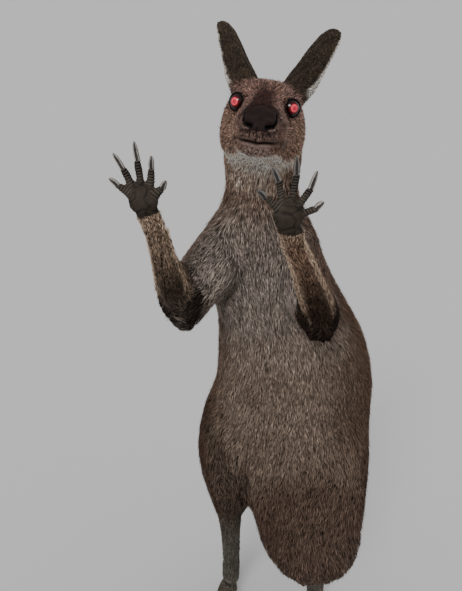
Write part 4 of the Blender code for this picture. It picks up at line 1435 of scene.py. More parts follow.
@dataclass
class Skin:
    """One skin over all the flesh: the solids swollen together, remeshed, thinned, folded and drawn in.

    KEPT is how much of its fineness each part keeps, and SOFT how much it is smoothed.
    """

    KEPT = {"head": 0.93, "ear": 0.8, "hand": 0.97, "foot": 0.6}
    SOFT = {"head": 0.75, "ear": 0.6, "hand": 0.3, "foot": 0.5}

    skeleton: Skeleton
    places: Places
    markings: Markings
    face: Face
    swell: float = 0.6 * MM
    voxel: float = 2.0 * MM
    faces_wanted: int = 98000
    ring_height: float = 0.38
    flesh: list[str] = field(default_factory=list)
    thing: Object | None = None
    surface: Surface | None = None
    fields: Fields | None = None
    phase: Array | None = None
    ringed: Array | None = None

    def build(self) -> None:
        """Makes the skin's surface and object."""
        self.flesh = [name for name in self.skeleton.solids if not name.startswith(("claw", "eye"))]
        shape = self.thinned(self.remeshed())
        shape.relax(self.by_part(shape.points, self.SOFT, 1.0, np.minimum), 9)
        shape = self.refined(shape)
        shape.relax(self.by_part(shape.points, self.SOFT, 1.0, np.minimum), 3)
        self.sink(shape)
        LOG.info("skin surface: %d points, %d triangles", len(shape.points), len(shape.faces))
        self.surface = shape
        self.thing = make_object("skin", shape.points, shape.faces)

    def remeshed(self) -> Surface:
        """The flesh solids, each swollen to close the cuts between them, as one closed surface.

        Returns:
            The surface.
        """
        points, faces, start = [], [], 0
        for name in self.flesh:
            item = self.skeleton.solids[name]
            points.append(item.points + item.normals() * self.swell)
            faces.append(item.faces + start)
            start += len(item.points)
        swollen = Surface(np.concatenate(points), np.concatenate(faces))
        return reshaped(swollen, "REMESH", {"mode": "VOXEL", "voxel_size": self.voxel}).largest_piece()

    def by_part(self, points: Array, values: dict, base: float, pick: Callable, room: float = 0.0) -> Array:
        """A number for each place, from the boxes of the solids that it lies in.

        Args:
            points: places, one row each.
            values: a number for each sort of solid, by its first word.
            base: the number outside the boxes.
            pick: what keeps one of two numbers.
            room: how much each box is grown.

        Returns:
            The numbers.
        """
        share = np.full(len(points), base)
        for name in self.flesh:
            value = values.get(name.split("_")[0])
            if value is not None:
                inside = in_box(points, name, room)
                share[inside] = pick(share[inside], value)
        return share

    def thinned(self, shape: Surface) -> Surface:
        """Fewer triangles on the body, which fur covers, than on the face, hands and feet.

        Args:
            shape: the surface.

        Returns:
            The thinner surface.
        """
        kept = self.by_part(shape.points, self.KEPT, 0.0, np.maximum, 4.0 * MM)
        settings = {"ratio": self.faces_wanted / len(shape.faces), "vertex_group": "thin"}
        return reshaped(shape, "DECIMATE", settings, np.round(1.0 - kept, 3))

    def refined(self, shape: Surface) -> Surface:
        """Halves the triangles' sides on the muzzle, round the eyes and on the hands.

        Args:
            shape: the surface.

        Returns:
            The finer surface.
        """
        spots = self.places.head.inside(shape.points)
        close = (spots[:, 2] > 42.0) & (spots[:, 1] > -60.0)
        for opening in self.face.openings.values():
            close |= spans(shape.points - opening.centre) < 27.0 * MM
        for side in SIDES:
            close |= in_box(shape.points, f"hand_{side}", 3.0 * MM)
        helper = make_object("helper", shape.points, shape.faces)
        work = bmesh.new()
        work.from_mesh(helper.data)
        sides = [edge for edge in work.edges if all(close[spot.index] for spot in edge.verts)]
        bmesh.ops.subdivide_edges(work, edges=sides, cuts=1, use_grid_fill=True)
        bmesh.ops.triangulate(work, faces=work.faces[:])
        work.to_mesh(helper.data)
        work.free()
        result = read_surface(helper.data)
        discard(helper)
        return result

    def sink(self, shape: Surface) -> None:
        """Draws the skin in by the coat's depth, adds the folds, rings the digits and opens the sockets.

        Args:
            shape: the surface.
        """
        at = self.skeleton.fields(shape.points, shape.normals())
        self.places.comb(at)
        deep = shape.even(self.places.depth(at), 3)
        shape.points = shape.points - at.normals * (deep + 0.5 * self.swell)[:, None]
        at = replace(at, points=shape.points, normals=shape.normals())
        height = self.face.folds(at.points) + self.relief(at)
        shape.points = self.face.socket(at.points + at.normals * height[:, None])
        shape.points[:, 2] = np.maximum(shape.points[:, 2], 0.0)
        self.fields = replace(at, points=shape.points, normals=shape.normals())

    def digits(self, at: Fields) -> tuple[Array, Array]:
        """How many rings each place lies along its nearest digit, and how strongly it is ringed.

        Args:
            at: what is known at the places.

        Returns:
            The rings along it, and a share.
        """
        count = len(at.points)
        phase, share, best = np.zeros(count), np.zeros(count), np.full(count, np.inf)
        for side in SIDES:
            hand = bone_of("hand", side)
            mine = at.of(hand)
            item = self.skeleton.of(hand)
            palm = item.path[0] + (item.path[-1] - item.path[0]) * 0.30
            for digit in HAND_DIGITS:
                claw = self.skeleton.solids[f"claw_hand_{side}_{digit}"].points
                root = claw[spans(claw - palm).argmin()]
                gap, along = near_path(at.points, np.array([palm, root]))
                closer = gap < best
                best = np.where(closer, gap, best)
                phase = np.where(closer, along * np.linalg.norm(root - palm) / RING, phase)
                share = np.where(closer, ramp(along, 0.52, 0.66) * mine, share)
        return phase, share

    def relief(self, at: Fields) -> Array:
        """The hands' relief: a sine along each digit for its rings, and pads on the palm.

        Args:
            at: what is known at the places.

        Returns:
            A height for each place, in metres.
        """
        self.phase, self.ringed = self.digits(at)
        height = self.ring_height * np.sin(2.0 * math.pi * self.phase) * self.ringed
        for side in SIDES:
            mine = at.of(bone_of("hand", side))
            mine = mine * ramp(at.normals @ self.places.palm[side], 0.0, 0.5)
            height += (0.5 * self.places.pads(at.points, side) + 0.15 * ripple(at.points, 0.0045, 61)) * mine
        return height * MM

    def dress(self, material: Material) -> None:
        """Paints the markings, the hair's way and the bare places on the skin, and settles it.

        Args:
            material: what it is made of.
        """
        paint(self.thing, "Coat", self.markings.colour(self.fields))
        number(self.thing, "Bare", self.places.bare(self.fields))
        number(self.thing, "Ring", self.phase)
        number(self.thing, "Ringed", self.ringed)
        arrow(self.thing, "Lie", drawn_out(self.fields.points, self.fields.flow, 0.86))
        settle(self.thing, material, self.flesh)


# One tuft's triangles, and for each of its six points the brightness and the place on its own patch. The
# brightness runs from dark roots to a pale tip: partly the hairs' own banding and partly painted shade where
# the roots lie under the coat.
LOCK_FACES = np.array([
    (0, 1, 4),
    (0, 4, 2),
    (1, 3, 4),
    (2, 4, 5),
    (4, 3, 5),
    (0, 2, 3),
    (0, 3, 1),
    (2, 5, 3),
])
LOCK_TONES_AND_ROOT_SHADE = np.array([0.34, 0.34, 0.78, 0.78, 0.98, 1.50])
LOCK_ACROSS = np.array([0.3, -0.3, 0.5, -0.5, 0.0, 0.0])
LOCK_ALONG = np.array([0.0, 0.0, BEND_AT, BEND_AT, BEND_AT, 1.0])
# The width of a tuft's patch on the map OFBake.
PATCH = 0.003
# The share of tufts that are guard hairs: longer, thinner and paler than the rest.
GUARD_SHARE = 0.10
GUARD_LONG = 1.35
GUARD_THIN = 0.55
GUARD_PALE = 1.45


@dataclass
class Locks:
    """Thin closed tufts, each a blade with a keel: two root points, three half way along, and a tip."""

    root: Array
    middle: Array
    tip: Array
    rise: Array
    width: Array
    thick: Array
    colour: Array
    spot: Array
    seed: int = 1

    def points(self) -> Array:
        """Six points for each tuft, in order.

        Returns:
            Places, one row each.
        """
        across = unit(np.cross(self.rise, self.tip - self.root)) * self.width[:, None]
        keel = self.rise * self.thick[:, None]
        foot = 0.3 * MM * self.rise
        corners = (
            self.root + 0.30 * across - foot,
            self.root - 0.30 * across - foot,
            self.middle + 0.5 * across,
            self.middle - 0.5 * across,
            self.middle + keel,
            self.tip,
        )
        return np.stack(corners, axis=1).reshape(-1, 3)

    def build(self, name: str) -> Object:
        """The tufts as one object, with their colours and their two maps.

        Args:
            name: the piece's name.

        Returns:
            The object.
        """
        count = len(self.root)
        faces = (np.arange(count)[:, None, None] * 6 + LOCK_FACES[None]).reshape(-1, 3)
        thing = make_object(name, self.points(), faces)
        shade = np.tile(LOCK_TONES_AND_ROOT_SHADE, count)
        paint(thing, "Coat", np.clip(np.repeat(self.colour, 6, axis=0) * shade[:, None], 0.0, 1.0))
        local = np.stack([LOCK_ACROSS, LOCK_ALONG - 0.5], axis=1)
        spots = (np.clip(self.spot, PATCH, 1.0 - PATCH)[:, None, :] + PATCH * local[None]).reshape(-1, 2)
        self.map(thing, "OFBake", spots, faces)
        shift = np.random.default_rng(self.seed).uniform(0.0, 50.0, (count, 2))
        strand = (shift[:, None, :] + np.stack([LOCK_ACROSS, LOCK_ALONG], axis=1)[None]).reshape(-1, 2)
        self.map(thing, "Strand", strand, faces)
        return thing

    @staticmethod
    def map(thing: Object, name: str, spots: Array, faces: Array) -> None:
        """Writes a UV map from one place for each point."""
        layer = thing.data.uv_layers.new(name=name)
        layer.data.foreach_set("uv", np.ascontiguousarray(spots[faces.ravel()], np.float32).ravel())


@dataclass
class Area:
    """A part of the coat that is one piece: the lengths that it covers, and which side of them."""

    name: str
    bones: tuple[Bone, ...]
    most: int
    side: Callable[[Fields, Array], Array] | None = None


def trunk_part(front: bool, low: float = -1.0, high: float = 2.0) -> Callable[[Fields, Array], Array]:
    """A test for a stretch of the trunk's front half or back half.

    Args:
        front: whether it is the front half.
        low: where the stretch starts, as a share of the trunk.
        high: where it ends.

    Returns:
        The test, from the fields and the spots of places to true or false.
    """
    def test(fields: Fields, spots: Array) -> Array:
        """True where the place lies on that half and that stretch.

        Args:
            fields: what the lengths say there.
            spots: places as millimetres in the head's ways; not used.

        Returns:
            Whether each place is in the area.
        """
        along = fields.along_of(Bone.TRUNK)
        ahead = np.abs(fields.turn_of(Bone.TRUNK)) < math.pi / 2
        return (ahead == front) & (along >= low) & (along < high)

    return test


ARM_BONES = (Bone.UPPER_ARM_LEFT, Bone.FOREARM_LEFT, Bone.UPPER_ARM_RIGHT, Bone.FOREARM_RIGHT)
AREAS = (
    Area("coat_face", (Bone.HEAD,), 24000, lambda fields, spots: spots[:, 2] >= 8.0),
    Area("coat_crown", (Bone.HEAD,), 21000, lambda fields, spots: spots[:, 2] < 8.0),
    Area("coat_ears", (Bone.EAR_LEFT, Bone.EAR_RIGHT), 13000),
    Area("coat_neck", (Bone.NECK,), 15000),
    Area("coat_chest", (Bone.TRUNK,), 20000, trunk_part(True, high=0.5)),
    Area("coat_belly", (Bone.TRUNK,), 17000, trunk_part(True, low=0.5)),
    Area("coat_back", (Bone.TRUNK,), 24000, trunk_part(False)),
    Area("coat_arms", ARM_BONES, 21000),
    Area("coat_thighs", (Bone.THIGH_LEFT, Bone.THIGH_RIGHT), 20000),
    Area("coat_shanks", (Bone.SHANK_LEFT, Bone.SHANK_RIGHT), 12000),
    Area("coat_tail", (Bone.TAIL,), 12000),
    Area("coat_paws", (Bone.FOOT_LEFT, Bone.FOOT_RIGHT, Bone.HAND_LEFT, Bone.HAND_RIGHT), 10000),
)


@dataclass
class Coat:
    """The fur: tufts over the whole skin, thin and lying along it, in pieces of one part of the body each."""

    skin: Skin
    places: Places
    markings: Markings
    wanted: Array | None = None

    def build(self, material: Material) -> None:
        """Makes each piece of the coat.

        Args:
            material: what it is made of.
        """
        shape = self.skin.surface
        middles = shape.points[shape.faces].mean(axis=1)
        normals = unit(self.skin.fields.normals[shape.faces].mean(axis=1))
        fields = self.skin.skeleton.fields(middles, normals)
        spots = self.places.head.inside(middles)
        gap = np.array([fur_of(b).spacing for b in Bone]) * MM
        spacing = fields.weight @ gap
        spacing = spacing * (1.0 - 0.22 * ramp(spots[:, 2], -10.0, 60.0) * fields.of(Bone.HEAD))
        size = spans(shape.crosses()) / 2.0
        wanted = size / spacing**2 * ramp(self.places.bare(fields), 0.85, 0.25)
        for opening in self.skin.face.openings.values():
            away, tilt, turn = opening.angles(middles)
            wanted[(away < 30.0 * MM) & (tilt < opening.half(turn) + 0.12)] = 0.0
        self.wanted = wanted * self.clearing(spots)
        owner = fields.weight.argmax(axis=1)
        for seed, area in enumerate(AREAS):
            mine = np.isin(owner, [b.value for b in area.bones])
            if area.side is not None:
                mine &= area.side(fields, spots)
            self.piece(area, mine, material, seed + 100)

    def clearing(self, spots: Array) -> Array:
        """The share of tufts left on the face: fewer at the lips, none in the groove and nostrils.

        Args:
            spots: places as millimetres in the head's ways.

        Returns:
            A share for each place.
        """
        flat = self.places.head.unrolled(spots)
        ahead = spots[:, 2]
        lips, way = near_path(flat, self.places.MOUTH)
        above = flat[:, 1] > np.interp(flat[:, 0], *self.places.MOUTH.T)
        edge = np.where(above, 6.4, 4.2)
        share = np.where((way < 0.60) & (ahead > 30.0), ramp(lips, edge - 1.5, edge + 3.0), 1.0)
        groove = (np.abs(spots[:, 0] - GROOVE_LEFT) < 2.0) & (np.abs(spots[:, 1] + 20.0) < 10.0)
        nostril, _ = near_path(flat, self.places.NOSTRIL)
        share[(groove | (nostril < 3.8)) & (ahead > 50.0)] = 0.0
        return share

    def roots(self, mine: Array, most: int, seed: int) -> tuple[Array, Array]:
        """Root places and outward directions, spread by how many tufts each triangle wants.

        Args:
            mine: which of the triangles it grows from.
            most: how many tufts at most.
            seed: picks the random places.

        Returns:
            The places and the directions.
        """
        shape = self.skin.surface
        wanted = np.where(mine, self.wanted, 0.0)
        pick, shares = scatter(wanted, int(min(wanted.sum(), most)), seed)
        faces = shape.faces[pick]
        points = (shape.points[faces] * shares[:, :, None]).sum(axis=1)
        return points, unit((self.skin.fields.normals[faces] * shares[:, :, None]).sum(axis=1))

    def lay(self, guess: Array) -> tuple[Array, Array]:
        """The skin's nearest place to each guess above it, and the way from that place to the guess.

        Args:
            guess: places above the skin.

        Returns:
            The places on the skin, and the directions.
        """
        settings = {"target": self.skin.thing, "wrap_method": "NEAREST_SURFACEPOINT"}
        found = reshaped(Surface(guess, np.zeros((0, 3), np.int32)), "SHRINKWRAP", settings).points
        return found, unit(guess - found)

    def piece(self, area: Area, mine: Array, material: Material, seed: int) -> None:
        """One piece of the coat.

        Each tuft starts in the skin, rises to most of the coat's depth by half its length, and lies
        along the surface from there, so that its tip reaches the outline. The tip's and the middle's
        heights are measured from the skin under them.

        Args:
            area: which part of the body it is.
            mine: which of the skin's triangles it grows from.
            material: the fur.
            seed: picks the roots and the small differences.
        """
        root, normal = self.roots(mine, area.most, seed)
        fields = self.skin.skeleton.fields(root, normal)
        self.places.comb(fields)
        rng = np.random.default_rng(seed + 1000)
        count = len(root)
        furs = [fur_of(b) for b in Bone]
        deep = self.places.depth(fields)
        face = ramp(self.places.head.inside(root)[:, 2], -20.0, 60.0) * fields.of(Bone.HEAD)
        long = fields.weight @ np.array([f.length for f in furs]) * MM * (1.0 - 0.50 * face)
        wide = fields.weight @ np.array([f.width for f in furs]) * MM * (1.0 - 0.20 * face)
        guard = rng.uniform(size=count) < GUARD_SHARE
        long = long * self.clipped(root) * (1.0 - 0.6 * self.places.bare(fields))
        shaggy = self.fringe(root)
        long = long * rng.uniform(0.7, 1.3, count) * np.where(guard, GUARD_LONG, 1.0) * (1.0 + 0.45 * shaggy)
        wide = wide * rng.uniform(0.7, 1.3, count) * np.where(guard, GUARD_THIN, 1.0)
        swirl = 0.20 * ripple(root, 0.040, 71) + 0.10 * ripple(root, 0.012, 72)
        swirl = swirl + rng.normal(0.0, 0.09, count)
        across = np.cross(normal, fields.flow)
        way = fields.flow * np.cos(swirl)[:, None] + across * np.sin(swirl)[:, None]
        hover = normal * (deep + 5.0 * MM)[:, None]
        middle, rise = self.lay(root + way * BEND_AT * long[:, None] + hover)
        tip, tip_rise = self.lay(root + way * long[:, None] + hover)
        lift = rng.uniform(0.35, 0.75, count) + 0.15 * guard
        over = deep * (lift + rng.uniform(0.05, 0.35, count) + 0.25 * guard)
        over += (1.0 * guard * (1.0 - face) + 2.2 * shaggy * rng.uniform(size=count) ** 2) * MM
        middle = middle + rise * (deep * lift + 0.15 * MM)[:, None]
        tip = tip + tip_rise * (over + 0.1 * MM)[:, None]
        for ends in (middle, tip):
            ends[:, 2] = np.maximum(ends[:, 2], 0.2 * MM)
        shade = self.shades(root, guard, face, rng)
        colour = self.markings.colour(fields) * shade[:, None]
        spot = self.unwrap(area, fields)
        near = (spans(tip - root) < 1.4 * long + deep) & ((tip_rise * normal).sum(axis=1) > 0.2)
        parts = (part[near] for part in (root, middle, tip, rise, wide, KEEL * wide, colour, spot))
        settle(Locks(*parts, seed).build(area.name), material)

    def clipped(self, points: Array) -> Array:
        """How much of its length a tuft keeps: less near the mouth, so that none lies across it.

        Args:
            points: places, one row each.

        Returns:
            A share for each place.
        """
        spots = self.places.head.inside(points)
        gap, way = near_path(self.places.head.unrolled(spots), self.places.MOUTH)
        close = ramp(gap, 9.0, 2.0) * ramp(way, 0.8, 0.5) * ramp(spots[:, 2], 20.0, 35.0)
        return 1.0 - 0.55 * close

    def fringe(self, points: Array) -> Array:
        """How shaggy the coat is: more so round the elbows and on the cheeks, from 0 to 1.

        Args:
            points: places, one row each.

        Returns:
            A share for each place.
        """
        spots = self.places.head.inside(points)
        own = np.concatenate([np.abs(spots[:, :1]), spots[:, 1:]], axis=1)
        cheek = spans(own - [54.0, -40.0, -22.0])
        share = 0.75 * bell(cheek, 34.0)
        for side in SIDES:
            elbow = self.skin.skeleton.of(bone_of("forearm", side)).path[0]
            share = np.maximum(share, bell(spans(points - elbow), 38.0 * MM))
        return share

    @staticmethod
    def shades(points: Array, guard: Array, face: Array, rng: np.random.Generator) -> Array:
        """Each tuft's brightness: some are pale, some nearly black, and they drift in streaks.

        Args:
            points: places, one row each.
            guard: which tufts are guard hairs.
            face: how far each is on the face.
            rng: the source of the random draws.

        Returns:
            A brightness for each tuft.
        """
        count = len(points)
        drift = 1.0 + 0.10 * ripple(points, 0.009, 75)
        shade = drift * np.exp((0.30 + 0.12 * face) * rng.normal(size=count))
        shade = np.where(guard, shade * GUARD_PALE, shade)
        shade = np.where(rng.uniform(size=count) < 0.09, shade * 0.60, shade)
        return np.clip(shade, 0.35, 2.1)

    @staticmethod
    def unwrap(area: Area, fields: Fields) -> Array:
        """Each root on a map of the piece: a strip for each length, the turn round it by the way along it.

        Args:
            area: which part of the body it is.
            fields: what the lengths say at the roots.

        Returns:
            Places on the map, one row each.
        """
        values = [b.value for b in area.bones]
        column = fields.weight[:, values].argmax(axis=1)
        row = np.arange(len(column))
        picked = np.array(values)[column]
        turn = fields.turn[row, picked] / (2.0 * math.pi) + 0.5
        along = fields.along[row, picked]
        return np.stack([(column + 0.02 + 0.96 * turn) / len(values), 0.01 + 0.98 * along], axis=1)


def grid_faces(rows: int, around: int) -> Array:
    """Triangles over a tube of points, rows by around, closed round but open at its ends.

    Args:
        rows: how many rows.
        around: how many points go round.

    Returns:
        The triangles.
    """
    r, c = np.meshgrid(np.arange(rows - 1), np.arange(around), indexing="ij")
    a = r * around + c
    b = r * around + (c + 1) % around
    d = a + around
    e = b + around
    sides = (np.stack(corners, axis=-1).reshape(-1, 3) for corners in ((a, b, e), (a, e, d)))
    return np.concatenate(list(sides))


def capped_faces(rows: int, around: int) -> Array:
    """Triangles over a tube of points whose two end points come after the rows.

    Args:
        rows: how many rows.
        around: how many points go round.

    Returns:
        The triangles.
    """
    k = np.arange(around)
    following = (k + 1) % around
    base, last = rows * around, (rows - 1) * around
    start = np.stack([np.full_like(k, base), following, k], axis=1)
    end = np.stack([np.full_like(k, base + 1), last + k, last + following], axis=1)
    return np.concatenate([grid_faces(rows, around), start, end])


def facing_out(points: Array, faces: Array, middle: Array) -> Array:
    """The faces, all turned over if they mostly point toward the middle.

    Args:
        points: places, one row each.
        faces: triangles, as point numbers.
        middle: a place inside the shape.

    Returns:
        The faces, facing outward.
    """
    middles = points[faces].sum(axis=1) / 3.0
    sense = (Surface(points, faces).crosses() * (middles - middle)).sum()
    return faces if sense > 0 else faces[:, ::-1]


@dataclass
class Eye:
    """An eyeball with a bulging cornea, and the two lids that close over it."""

    side: str
    opening: Opening
    rings: int = 72
    around: int = 96
    lid_around: int = 128

    def build(self, ball: Material, lid: Material) -> None:
        """Makes the eyeball and its lids."""
        self.eyeball(ball)
        self.lids(lid)

    def eyeball(self, material: Material) -> None:
        """A sphere about the way the eye looks, its radius raised by a bell over the cornea.

        Args:
            material: what it is made of.
        """
        o = self.opening
        tilt = np.linspace(0.002, math.pi - 0.002, self.rings)
        turn = np.linspace(0.0, 2.0 * math.pi, self.around, endpoint=False)
        tilt_grid, turn_grid = np.meshgrid(tilt, turn, indexing="ij")
        away = o.ball * (1.0 + CORNEA_BULGE * bell(tilt_grid, CORNEA_ANGLE))
        points = o.place(tilt_grid, turn_grid, away).reshape(-1, 3)
        ends = np.array([o.place(np.array(0.0), np.array(0.0), away[0, 0]), o.centre - o.look * o.ball])
        points = np.concatenate([points, ends])
        faces = facing_out(points, capped_faces(self.rings, self.around), o.centre)
        thing = make_object(f"eyeball_{self.side}", points, faces)
        number(thing, "Look", np.concatenate([tilt_grid.ravel(), [0.0, math.pi]]))
        settle(thing, material, [f"eye_{self.side}"])

    def lids(self, material: Material) -> None:
        """A band round the gap: up off the eyeball at the wet edge, over a rounded rim, and under the fur.

        Args:
            material: what it is made of.
        """
        o = self.opening
        steps = np.array([-0.07, -0.04, -0.01, 0.02, 0.05, 0.08, 0.12, 0.17])
        over = np.array([0.10, 0.45, 0.85, 1.15, 1.25, 1.10, 0.70, -0.4]) * MM
        turn = np.linspace(0.0, 2.0 * math.pi, self.lid_around, endpoint=False)
        tilt = o.half(turn)[None, :] + steps[:, None]
        heavy = 1.0 + 0.35 * ramp(np.sin(turn), 0.0, 0.9)[None, :] * (over[:, None] > 0)
        away = o.ball + over[:, None] * heavy + o.ball * CORNEA_BULGE * bell(tilt, CORNEA_ANGLE)
        points = o.place(tilt, np.broadcast_to(turn, tilt.shape), away)
        under = o.place(tilt[-1:], turn[None, :], away[-1:] - 1.0 * MM)
        inner = o.place(tilt[:1], turn[None, :], np.full((1, len(turn)), o.ball - 1.0 * MM))
        rows = np.concatenate([inner, points, under]).reshape(-1, 3)
        faces = grid_faces(len(steps) + 2, len(turn))
        closing = grid_faces(2, len(turn))
        join = np.where(closing < len(turn), closing + (len(steps) + 1) * len(turn), closing - len(turn))
        faces = facing_out(rows, np.concatenate([faces, join]), o.centre)
        thing = make_object(f"lids_{self.side}", rows, faces)
        settle(thing, material)


@dataclass
class Bristles:
    """Single stiff hairs: thin tubes that taper along a bent line."""

    root: Array
    way: Array
    sag: Array
    radius: float
    tone: Array
    steps: int = 8

    def build(self, name: str, material: Material) -> None:
        """Four-sided tubes along root + way t + sag t squared, their size falling in a straight line.

        Args:
            name: the piece's name.
            material: what it is made of.
        """
        count = len(self.root)
        t = np.linspace(0.0, 1.0, self.steps)
        bend = self.sag[:, None] * (t**2)[None, :, None]
        line = self.root[:, None] + self.way[:, None] * t[None, :, None] + bend
        ahead = unit(np.gradient(line, axis=1))
        side = unit(np.cross(ahead, np.array([0.31, 0.42, 0.85])))
        over = np.cross(ahead, side)
        turn = np.arange(4) * math.pi / 2.0
        size = self.radius * (1.0 - 0.90 * t)
        ring = np.cos(turn)[:, None] * side[:, :, None] + np.sin(turn)[:, None] * over[:, :, None]
        points = (line[:, :, None] + size[None, :, None, None] * ring).reshape(-1, 3)
        k = np.arange(4)
        following = (k + 1) % 4
        rows = np.arange(self.steps - 1)[:, None] * 4
        walls = np.stack([rows + k, rows + following, rows + 4 + following, rows + 4 + k], axis=-1)
        walls = walls.reshape(-1, 4)
        last = (self.steps - 1) * 4
        one = np.concatenate([walls, [k[::-1]], [last + k]])
        faces = (np.arange(count)[:, None, None] * self.steps * 4 + one[None]).reshape(-1, 4)
        thing = make_object(name, points, faces)
        paint(thing, "Coat", np.tile(self.tone, (len(points), 1)))
        spot = np.random.default_rng(7).uniform(PATCH, 1.0 - PATCH, (count, 2))
        local = np.stack([np.tile(k / 3.0, self.steps), np.repeat(t, 4)], axis=1) - 0.5
        Locks.map(thing, "OFBake", (spot[:, None] + PATCH * local[None]).reshape(-1, 2), faces)
        Locks.map(thing, "Strand", (40.0 * spot[:, None] + local[None]).reshape(-1, 2), faces)
        settle(thing, material)


@dataclass
class Feelers:
    """The whiskers on the muzzle, and the lashes along each upper lid."""

    skin: Skin
    head: HeadAxes
    openings: dict[str, Opening]
    lash_count: int = 26

    def build(self, material: Material) -> None:
        """Makes the whiskers and the lashes.

        Args:
            material: what it is made of.
        """
        for side in SIDES:
            self.whiskers(side, material)
            self.lashes(side, material)

    def whiskers(self, side: str, material: Material) -> None:
        """Three rows of four on the upper lip, sweeping out, back and down, each from the skin's nearest
        point.

        Args:
            side: left or right.
            material: what it is made of.
        """
        rng = np.random.default_rng(31 if side == "left" else 32)
        sign = SIGNS[side]
        row, place = np.meshgrid(np.arange(3), np.arange(4), indexing="ij")
        spots = np.stack([
            sign * (30.0 - 1.2 * row),
            -8.0 - 5.2 * row - 0.5 * place,
            78.0 - 6.5 * place - 1.5 * row,
        ], axis=-1).reshape(-1, 3)
        spots = spots + rng.normal(0.0, 0.8, spots.shape)
        target = self.head.outside(spots)
        near = spans(self.skin.surface.points[None] - target[:, None]).argmin(axis=1)
        normal = self.skin.fields.normals[near]
        root = self.skin.surface.points[near] - normal * 0.5 * MM
        count = len(root)
        way = normal + 0.35 * sign * self.head.left - 0.45 * self.head.ahead
        way = unit(way + rng.normal(0.0, 0.12, (count, 3)))
        long = rng.uniform(16.0, 34.0, count)[:, None] * MM
        sag = -UP * 0.22 * long - self.head.ahead * 0.18 * long
        whiskers = Bristles(root, way * long, sag, 0.16 * MM, linear("#3a302b"))
        whiskers.build(f"whiskers_{side}", material)

    def lashes(self, side: str, material: Material) -> None:
        """Short black hairs along the upper lid, longest toward its outer corner.

        Args:
            side: left or right.
            material: what it is made of.
        """
        opening = self.openings[side]
        rng = np.random.default_rng(33 if side == "left" else 34)
        count = self.lash_count
        turn = np.linspace(0.25, 2.5, count) + rng.normal(0.0, 0.03, count)
        tilt = opening.half(turn) + 0.05
        root = opening.place(tilt, turn, np.full(count, opening.ball + 1.2 * MM))
        out = unit(root - opening.centre)
        way = out + 0.5 * opening.rise + 0.25 * opening.across
        way = unit(way + rng.normal(0.0, 0.12, (count, 3)))
        long = (3.5 + 3.5 * ramp(turn, 2.0, 0.4))[:, None] * MM
        lashes = Bristles(root, way * long, opening.rise * 0.25 * long, 0.13 * MM, linear("#0e0a08"))
        lashes.build(f"lashes_{side}", material)


@dataclass
class Claw:
    """A curved claw: rounded above, pinched below, along the solid claw's own length."""

    node: str
    shape: Surface
    start: Array
    under: Array
    pale: float = 1.0
    steps: int = 26
    around: int = 20

    def build(self, material: Material) -> None:
        """Carries a drop-shaped profile along a curve through the solid claw's root, middle and tip.

        Args:
            material: what it is made of.
        """
        points = self.shape.points
        away = spans(points - self.start)
        root = points[away < away.min() + 1.2 * MM].mean(axis=0)
        reach = spans(points - root)
        tip = root + (points[reach.argmax()] - root) * 0.97
        run = tip - root
        long = np.linalg.norm(run)
        t = (points - root) @ run / long**2
        band = points[(t > 0.3) & (t < 0.65)]
        middle = (band.min(axis=0) + band.max(axis=0)) / 2.0 if len(band) else (root + tip) / 2.0
        off = points - root - np.outer(t, run)
        half = np.median(spans(off[t < 0.35])) * 1.02
        bend = middle + (middle - (root + tip) / 2.0)
        s = np.linspace(-0.04, 1.0, self.steps)[:, None]
        line = (1 - s) ** 2 * root + 2 * s * (1 - s) * bend + s**2 * tip
        ahead = unit(np.gradient(line, axis=0))
        below = unit(self.under - ahead * (ahead @ self.under)[:, None])
        side = np.cross(ahead, below)
        turn = np.linspace(0.0, 2.0 * math.pi, self.around, endpoint=False)
        size = half * np.clip(1.0 - np.clip(s, 0.0, 1.0) ** 4.0, 0.02, 1.0) ** 0.50
        across = np.sin(turn) * (0.92 - 0.22 * np.clip(np.cos(turn), 0.0, 1.0))
        down = np.cos(turn) * np.where(np.cos(turn) > 0, 1.02, 0.95)
        ring = side[:, None] * across[None, :, None] + below[:, None] * down[None, :, None]
        grid = line[:, None] + size[:, None] * ring
        points = np.concatenate([grid.reshape(-1, 3), line[:1], line[-1:]])
        points[:, 2] = np.maximum(points[:, 2], 0.0)
        faces = facing_out(points, capped_faces(self.steps, self.around), line.mean(axis=0))
        thing = make_object(self.node.replace("claw", "nail"), points, faces)
        below_share = (0.5 + 0.5 * np.cos(turn))[None, :] * np.ones((self.steps, 1))
        number(thing, "Under", np.concatenate([below_share.ravel(), [0.0, 0.6]]))
        number(thing, "Pale", np.full(len(points), self.pale))
        settle(thing, material, [self.node])


def add(tree: NodeTree, kind: str, settings: dict | None = None, links: dict | None = None) -> Node:
    """Adds a node with its settings and links.

    Args:
        tree: the material's or world's tree.
        kind: the node's type name.
        settings: attributes, or input values where the key is an input's name or number.
        links: input name or number to the output that feeds it.

    Returns:
        The node.
    """
    node = tree.nodes.new(kind)
    for key, value in (settings or {}).items():
        if isinstance(key, int) or key in node.inputs:
            node.inputs[key].default_value = value
        else:
            setattr(node, key, value)
    for key, socket in (links or {}).items():
        tree.links.new(socket, node.inputs[key])
    return node


def read(tree: NodeTree, name: str, output: str = "Fac") -> NodeSocket:
    """The output of a node that reads a named attribute."""
    return add(tree, "ShaderNodeAttribute", {"attribute_name": name}).outputs[output]


def arithmetic(
    tree: NodeTree, operation: str, first: NodeSocket, second: float | NodeSocket = 0.0
) -> NodeSocket:
    """The output of a sum on a value and a plain number or a second value.

    Args:
        tree: the material's tree.
        operation: which sum it is.
        first: the value.
        second: a plain number or another value.

    Returns:
        The result.
    """
    plain, links = {"operation": operation}, {0: first}
    (plain if isinstance(second, float) else links)[1] = second
    return add(tree, "ShaderNodeMath", plain, links).outputs["Value"]


def spread(tree: NodeTree, value: NodeSocket, low: float, high: float, start: float = 0.0) -> NodeSocket:
    """The output that goes in a straight line from low to high as a value goes from start to 1."""
    settings = {"From Min": start, "To Min": low, "To Max": high}
    return add(tree, "ShaderNodeMapRange", settings, {"Value": value}).outputs["Result"]


